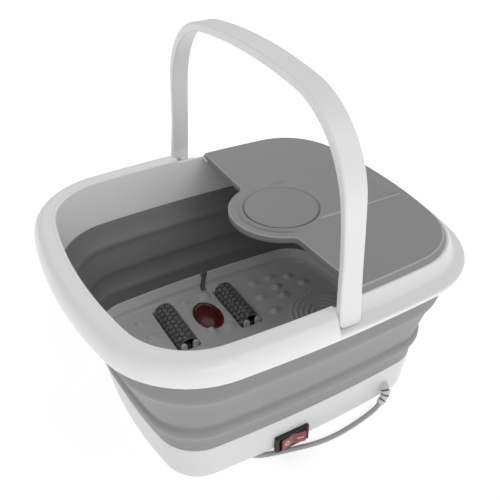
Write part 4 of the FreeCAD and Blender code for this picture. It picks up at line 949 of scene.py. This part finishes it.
def tub_surface():
    """Floor with its nubs, the wall round it, the roller wells and the seats of the lamp domes."""
    edge = [(x, y) for x, y, _ in base_ring(FLOOR_INSET, FLOOR_TOP)]
    openings = [well_ring(spot, OPENING_GROW) for spot in ROLLER_SPOTS]
    openings += [lens_ring(spot, OPENING_GROW) for spot in LENS_SPOTS]
    spots = []
    for bump in BUMP_SPOTS:
        spots.append(bump)
        for radius in BUMP_CIRCLES:
            spots += circle(bump, radius, 14)
    spots += grid(*FLOOR_GRID)
    spots = [spot for spot in spots if inside(edge, *spot)]

    def keep(x, y):
        return not any(inside(ring, x, y) for ring in openings)

    parts = [fill(edge, floor_height, openings, spots=spots, keep=keep)]
    parts.append(quads([base_ring(inset, z) for inset, z in smooth_curve(TUB_CURVE, 3) + TUB_EDGE]))
    for spot in ROLLER_SPOTS:
        parts.append(quads([at_height(well_ring(spot, grow), z) for grow, z in WELL_ROWS]))
        parts.append(fill(well_ring(spot, WELL_ROWS[-1][0]), lambda x, y: WELL_FLOOR))
    for spot in LENS_SPOTS:
        parts.append(quads([at_height(lens_ring(spot, grow), z) for grow, z in LENS_SEAT]))
    points, faces = merged(parts)
    return mesh_piece("tub_surface", points, faces, sharp=50.0, weighted=False)


tub = place(tub_surface(), "base", "tub_white", "white_inner", "tub_floor")
# upright wall faces of the tub get a lighter white: painted light on the shaded wall
paint_where(tub, "tub_wall_lightened",
            lambda face: face.center.z > TUB_WALL_LOW * MM and abs(face.normal.z) < 0.9)
BOSSES = [("boss_far", (-24.0, -40.5), 5.0, 6.5), ("boss_near", (-24.0, 40.5), 5.0, 6.5),
          ("sensor_boss", (-1.5, 104.5), 8.0, 4.5)]
BOSS_FOOT = [(1.6, 37.9), (0.5, 38.4), (0.0, 39.4)]
SLOT_LINE = [(116.5, 38.6), (119.6, 38.8), (122.0, 39.6), (124.2, 43.0), (126.2, 50.0), (127.8, 56.4),
             (129.2, 57.7)]
SLOT_LEFT, SLOT_LEAN, SLOT_WIDTH, SLOT_LIP, SLOT_RISE, SLOT_TILT = 1.6, 0.42, 7.0, 0.5, 0.35, 0.7


def floor_boss(name, spot, radius, height):
    """Round-topped boss that stands on the tub floor."""
    profile = [(radius + wider, z) for wider, z in BOSS_FOOT]
    shoulder = BOSS_FOOT[-1][1]
    dome = height + FLOOR_TOP - shoulder
    for step in range(1, 10):
        turn = math.pi * step / 20
        profile.append((radius * math.cos(turn), shoulder + dome * math.sin(turn)))
    return loft(name, turned(spot, profile, 32), caps=True, sharp=60.0, weighted=False)


for boss in BOSSES:
    place(floor_boss(*boss), "base", "fork_white", "white_inner")


def wall_slot():
    """Channel down the tub wall, behind the round boss, drawn as a thin raised strip whose dark grey is
    painted shade.
    """
    rows = []
    for y, z in SLOT_LINE:
        left = SLOT_LEFT + SLOT_LEAN * (z - SLOT_LINE[0][1])
        across = ((0.0, 0.0), (SLOT_LIP, SLOT_RISE), (SLOT_WIDTH - SLOT_LIP, SLOT_RISE), (SLOT_WIDTH, 0.0))
        rows.append([(left + x, y - rise, z + SLOT_TILT * rise) for x, rise in across])
    return loft("wall_slot", rows, closed_ring=False, sharp=30.0)


place(wall_slot(), "base", "groove_shade_grey", "white_inner")

FORK_HALF, PRONG_X, PRONG_R, PRONG_Z, CRADLE_R = 11.4, 7.6, 3.8, 42.6, 3.6
FORK_GAP, FORK_THICK, FORK_BEVEL = 1.2, 3.2, 0.5


def arc(x, z, radius, turns):
    return [(x + radius * math.cos(turn), z + radius * math.sin(turn)) for turn in turns]


def fork_outline():
    """Side view of one roller support: two round-topped prongs over a cradle for the axle."""
    over = [math.pi * (1 - step / 8) for step in range(9)]
    under = [math.pi * (1 + step / 10) for step in range(11)]
    points = [(-FORK_HALF, WELL_FLOOR)] + arc(-PRONG_X, PRONG_Z, PRONG_R, over)
    points += arc(0.0, FLOOR_TOP, CRADLE_R, under) + arc(PRONG_X, PRONG_Z, PRONG_R, over)
    return points + [(FORK_HALF, WELL_FLOOR)]


def forks():
    outline = fork_outline()
    parts = []
    for x, y in ROLLER_SPOTS:
        for end in (1, -1):
            inner = y + end * (ROLLER_HALF + FORK_GAP)
            depths = (inner, inner + end * FORK_THICK)
            rings = [[(x + across, depth, up) for across, up in outline] for depth in depths]
            points, faces = quads(rings)
            parts.append((points, faces + end_caps(rings, True)))
    points, faces = merged(parts)
    piece = mesh_piece("roller_forks", points, faces, sharp=40.0, weighted=False)
    bevel = piece.modifiers.new("edge", "BEVEL")
    bevel.width = FORK_BEVEL * MM
    bevel.segments = 2
    bevel.limit_method = "ANGLE"
    bevel.angle_limit = math.radians(50)
    return piece


place(forks(), "base", "fork_white", "white_inner")

# ---- rollers
ROLLER_NAMES = [("roller_a", "roller_far_left"), ("roller_b", "roller_near_left"),
                ("roller_c", "roller_far_right"), ("roller_d", "roller_near_right")]
ROLLER_ROWS, ROW_COLUMNS, ROLLER_STEPS, NUB_PITCH = 12, 10, 100, 8.4
ROLLER_CORE, NUB_RISE, SLEEVE_END, RIM_RISE = 11.4, 1.6, 0.8, 0.9
GROOVE_SHARE, GROOVE_SPAN, GAP_SPAN = 0.8, (0.66, 0.92), (0.60, 0.78)
GAP_R, GAP_END, HUB_R, RIM_SPAN = 11.95, 35.0, 9.9, (0.8, 3.2)
# radius and distance from the middle, over the rim, down the recess and out along the axle
ROLLER_END = [
    (12.3, 36.2), (12.1, 36.9), (11.6, 37.0), (10.2, 37.0), (9.9, 36.7), (9.8, 27.0), (9.2, 26.4),
    (4.4, 26.6), (3.8, 27.2), (3.4, 28.0), (3.4, 40.6), (2.9, 41.1), (0.3, 41.2),
]


def nub(along, turn):
    """0 in the grooves between the nubs, 1 on top of a nub."""
    row = turn / (2 * math.pi) * ROLLER_ROWS
    number = math.floor(row)
    across = abs(row - number - 0.5) / 0.5
    shifted = along / NUB_PITCH + 0.5 * (number % 2)
    length = abs(shifted - math.floor(shifted) - 0.5) / 0.5
    return 1 - max(GROOVE_SHARE * ease(across, *GROOVE_SPAN), ease(length, *GAP_SPAN))


def roller_mesh(name, spot):
    columns = ROLLER_ROWS * ROW_COLUMNS
    turns = [2 * math.pi * (column + 0.5) / columns for column in range(columns)]
    sleeve_half = ROLLER_HALF - SLEEVE_END
    rings = []
    for step in range(ROLLER_STEPS + 1):
        along = sleeve_half * (2 * step / ROLLER_STEPS - 1)
        edge = ease(ROLLER_HALF - abs(along), *RIM_SPAN)
        ring = []
        for turn in turns:
            radius = ROLLER_CORE + NUB_RISE * nub(along, turn) * edge + RIM_RISE * (1 - edge)
            x, z = spot[0] + radius * math.cos(turn), FLOOR_TOP + radius * math.sin(turn)
            ring.append((x, spot[1] + along, z))
        rings.append(ring)
    parts = [quads(rings)]
    for end in (1, -1):
        rows = []
        for radius, along in ROLLER_END:
            y = spot[1] + end * along
            rows.append([(x, y, z) for x, z in circle((spot[0], FLOOR_TOP), radius, 48)])
        parts.append(quads(rows))
    points, faces = merged(parts)
    return mesh_piece(name, points, faces, sharp=60.0, weighted=False)


for (body, node), spot in zip(ROLLER_NAMES, ROLLER_SPOTS):

    def in_gap(face):
        away = math.hypot(face.center.x / MM - spot[0], face.center.z / MM - FLOOR_TOP)
        along = abs(face.center.y / MM - spot[1])
        return away < GAP_R and (along < GAP_END or away < HUB_R)

    roller = place(roller_mesh(node + "_sleeve", spot), body, "roller_dark", "dark_grey", node)
    # grooves between the nubs and the recessed ends get near black: painted shade
    paint_where(roller, "roller_gap_shade", in_gap)

# ---- lamp domes and ripple disc
LENS_PROFILE = [
    (0.0, 36.0), (0.0, 38.5), (-0.3, 39.2), (-0.9, 39.6), (-1.7, 39.65), (-2.4, 39.35), (-2.9, 39.5),
    (-4.6, 40.7), (-7.2, 41.8), (-10.2, 42.6), (-13.0, 43.0), (-15.4, 43.15), (-17.0, 43.2),
]
LENS_FLANGE = 39.3
DISC_RISE, DISC_DROP, CREST_RISE, BOSS_RISE = 2.0, 1.2, 1.5, 1.7
CRESTS = (34.0, 27.0, 20.0, 13.0)
BEADS, BEAD_R, RIPPLE_COLUMNS = 40, 40.2, 240
DISC_EDGE, CREST_SPAN, BOSS_SPAN, BEAD_SPAN = (41.8, RIPPLE_R), (0.6, 2.4), (5.5, 8.5), (0.4, 1.7)
RIPPLE_RADII = [0.4 + 0.55 * step for step in range(77)] + [RIPPLE_R]
for name, node, spot in zip(("lamp_dome_far", "lamp_dome_near"), ("lens_far", "lens_near"), LENS_SPOTS):
    rings = [at_height(lens_ring(spot, grow), z) for grow, z in LENS_PROFILE]
    dome = loft(name, rings, caps=True, sharp=45.0, weighted=False)
    place(dome, "base", "red_lens", "red_lens", node)
    paint_where(dome, "lens_edge", lambda face: face.center.z < LENS_FLANGE * MM)


def ripple_height(radius, turn):
    """Low disc with ring crests, a middle boss and an outer ring of beads."""
    rise = DISC_RISE - DISC_DROP * ease(radius, *DISC_EDGE)
    for crest in CRESTS:
        rise += CREST_RISE * (1 - ease(abs(radius - crest), *CREST_SPAN))
    rise += BOSS_RISE * (1 - ease(radius, *BOSS_SPAN))
    lobe = 0.5 + 0.5 * math.cos(BEADS * turn)
    return FLOOR_TOP + rise + CREST_RISE * lobe * (1 - ease(abs(radius - BEAD_R), *BEAD_SPAN))


def ripple_mesh():
    turns = [2 * math.pi * step / RIPPLE_COLUMNS for step in range(RIPPLE_COLUMNS)]
    rings = []
    for radius in RIPPLE_RADII:
        flat = circle((RIPPLE_X, 0.0), radius, RIPPLE_COLUMNS)
        rings.append([(x, y, ripple_height(radius, turn)) for (x, y), turn in zip(flat, turns)])
    rings.append(at_height(flat, FLOOR_TOP))
    return loft("ripple_face", rings, caps=True, sharp=60.0, weighted=False)


place(ripple_mesh(), "base", "ripple_grey", "white_inner", "ripple_disc")

# ---- cord entry
BOOT_X, BOOT_Z = 107.0, 28.5
BOOT_PATH = [
    (BOOT_X, -128.8, BOOT_Z), (BOOT_X, -131.9, 27.7), (106.7, -134.0, 25.6), (106.1, -134.8, 22.7),
    (104.4, -134.9, 18.1), (101.7, -135.0, 13.7), CORD_START,
]
BOOT_FLANGE = [(4.5, -121.5), (4.5, -126.0), (7.0, -126.3), (7.0, -128.6), (6.6, -129.0), (4.9, -129.0)]
BOOT_COLUMNS, BOOT_GROOVES, BOOT_TAPER_START = 32, 4, 0.93
BOOT_R, BOOT_TAPER, BOOT_GROOVE, BOOT_TIP_R = 5.5, 1.0, 1.8, 3.3
GROOVE_FROM, GROOVE_WAVE, GAP_WIDTH = 0.05, (0.72, 0.95), 8.2


def relief_mesh():
    """Flange on the base and a curved boot with grooves round it."""
    line = smooth_curve(BOOT_PATH, 12)
    rings = []
    for radius, y in BOOT_FLANGE:
        rings.append([(x, y, z) for x, z in circle((BOOT_X, BOOT_Z), radius, BOOT_COLUMNS)])
    side = Vector((1.0, 0.0, 0.0))
    last = len(line) - 1
    for number, spot in enumerate(line):
        heading = (Vector(line[min(number + 1, last)]) - Vector(line[max(number - 1, 0)])).normalized()
        if number == 0:
            heading = Vector((0.0, -1.0, 0.0))
        side = (side - heading * side.dot(heading)).normalized()
        up = side.cross(heading)
        share = number / last
        wave = 0.5 + 0.5 * math.cos(2 * math.pi * BOOT_GROOVES * share)
        groove = ease(wave, *GROOVE_WAVE) if share > GROOVE_FROM else 0.0
        end = ease(share, BOOT_TAPER_START, 1.0)
        radius = (BOOT_R - BOOT_TAPER * share - BOOT_GROOVE * groove) * (1 - end) + BOOT_TIP_R * end
        flat = circle((0.0, 0.0), radius, BOOT_COLUMNS)
        rings.append([tuple(Vector(spot) + side * across + up * rise) for across, rise in flat])
    return loft("relief_boot", rings, caps=True, sharp=50.0, weighted=False), rings


boot, boot_rings = relief_mesh()
place(boot, "base", "boot_grey", "cord_grey", "strain_relief")


def in_groove(face):
    row = face.index // BOOT_COLUMNS
    if row <= len(BOOT_FLANGE) or row >= len(boot_rings) - 2:
        return False
    across = Vector(boot_rings[row][0]) - Vector(boot_rings[row][BOOT_COLUMNS // 2])
    return across.length < GAP_WIDTH


# groove bottoms of the boot get a dark grey: painted shade in the grooves
paint_where(boot, "groove_shade_grey", in_groove)

# ---- switch
SWITCH_X, SWITCH_Z, SWITCH_FACE, SWITCH_BACK = -19.0, 20.6, -129.6, -122.0
# half length, half height, corner radius and depth of the frame's rings, from its back out and in again
SWITCH_ROWS = [
    (17.0, 8.5, 0.6, SWITCH_BACK), (17.0, 8.5, 0.6, SWITCH_FACE), (20.3, 10.3, 1.0, SWITCH_FACE),
    (20.5, 10.5, 1.1, SWITCH_FACE - 0.3), (20.5, 10.5, 1.1, SWITCH_FACE - 4.0),
    (20.3, 10.3, 1.0, SWITCH_FACE - 4.6), (19.6, 9.6, 0.8, SWITCH_FACE - 5.35),
    (19.2, 9.3, 0.7, SWITCH_FACE - 5.4), (17.3, 8.6, 0.6, SWITCH_FACE - 5.1),
    (16.5, 8.3, 0.5, SWITCH_FACE - 4.4), (16.2, 8.2, 0.5, SWITCH_BACK),
]
ROCKER_FACE, ROCKER_BACK, ROCKER_HALF = -134.8, -130.2, 14.6
PRESSED, RAISED, RIDGE, RIDGE_HALF = 3.2, 2.0, 0.5, 3.0
ROCKER_COLUMNS = [-14.8, -14.6, -14.1] + [-13.0 + 2.0 * step for step in range(14)] + [14.1, 14.6, 14.8]
ROCKER_DROPS = [
    (-7.8, 1.0), (-7.65, 0.35), (-7.1, 0.0), (-3.0, -0.05), (0.0, -0.1), (3.0, -0.05), (7.1, 0.0),
    (7.65, 0.35), (7.8, 1.0),
]
# rounding of the rocker's ends: beyond this reach the face drops by so much
ROCKER_ENDS = ((14.7, 1.0), (14.4, 0.35), (-1.0, 0.0))
MARK_LOW, MARK_HIGH = 0.05, 0.22
MARK_RING = ((1.9, MARK_LOW), (2.0, MARK_HIGH), (2.7, MARK_HIGH), (2.8, MARK_LOW))
MARK_RING_X, MARK_BAR = -8.0, [(4.6, -0.45), (11.4, -0.45), (11.4, 0.45), (4.6, 0.45)]


def switch_loop(half_x, half_z, corner, y):
    """Rounded rectangle in the upright plane of the switch."""
    low_x, high_x = SWITCH_X - half_x, SWITCH_X + half_x
    low_z, high_z = SWITCH_Z - half_z, SWITCH_Z + half_z
    corners = [(low_x, low_z), (high_x, low_z), (high_x, high_z), (low_x, high_z)]
    return [(x, y, z) for x, z in rounded(corners, corner, 5)]


switch_rings = [switch_loop(*row) for row in SWITCH_ROWS]
switch_frame = loft("switch_frame", switch_rings, closed_profile=True, sharp=30.0)
place(switch_frame, "base", "black_plastic", "black_plastic", "switch_bezel")


def rocker_front(x):
    """Depth of the rocker's face along its length: one end pressed in."""
    slope = -RAISED * x if x < 0 else PRESSED * x
    return ROCKER_FACE - slope / ROCKER_HALF + RIDGE * bulge(x, 0.0, RIDGE_HALF)


def rocker_mesh():
    rings = []
    for up, drop in ROCKER_DROPS:
        ring = []
        for x in ROCKER_COLUMNS:
            end = next(drop_end for reach, drop_end in ROCKER_ENDS if abs(x) > reach)
            ring.append((SWITCH_X + x, rocker_front(x) + max(drop, end), SWITCH_Z + up))
        rings.append(ring)
    low, high = [[(x, ROCKER_BACK, z) for x, _, z in ring] for ring in (rings[0], rings[-1])]
    return loft("rocker_cap", [low] + rings + [high], closed_ring=False, closed_profile=True, caps=True)


place(rocker_mesh(), "rocker", "rocker_red", "red_rocker", "switch_rocker")


def rocker_marks():
    """Plain ring and bar of an off and on switch, raised by a tenth of a millimetre."""

    def on_face(x, z, lift):
        return (SWITCH_X + x, rocker_front(x) - lift, SWITCH_Z + z)

    rings = []
    for radius, lift in MARK_RING:
        rings.append([on_face(x, z, lift) for x, z in circle((MARK_RING_X, 0.0), radius, 32)])
    points, faces = quads([[on_face(x, z, lift) for x, z in MARK_BAR] for lift in (MARK_LOW, MARK_HIGH)])
    faces.append((4, 5, 6, 7))
    return mesh_piece("rocker_marks", *merged([quads(rings), (points, faces)]))


place(rocker_marks(), "rocker", "mark_white", "red_rocker")

# ---- cord pieces
place(cord, "base", "cord_grey", "cord_grey", "power_cord", "cord_coil", "cord_tail")
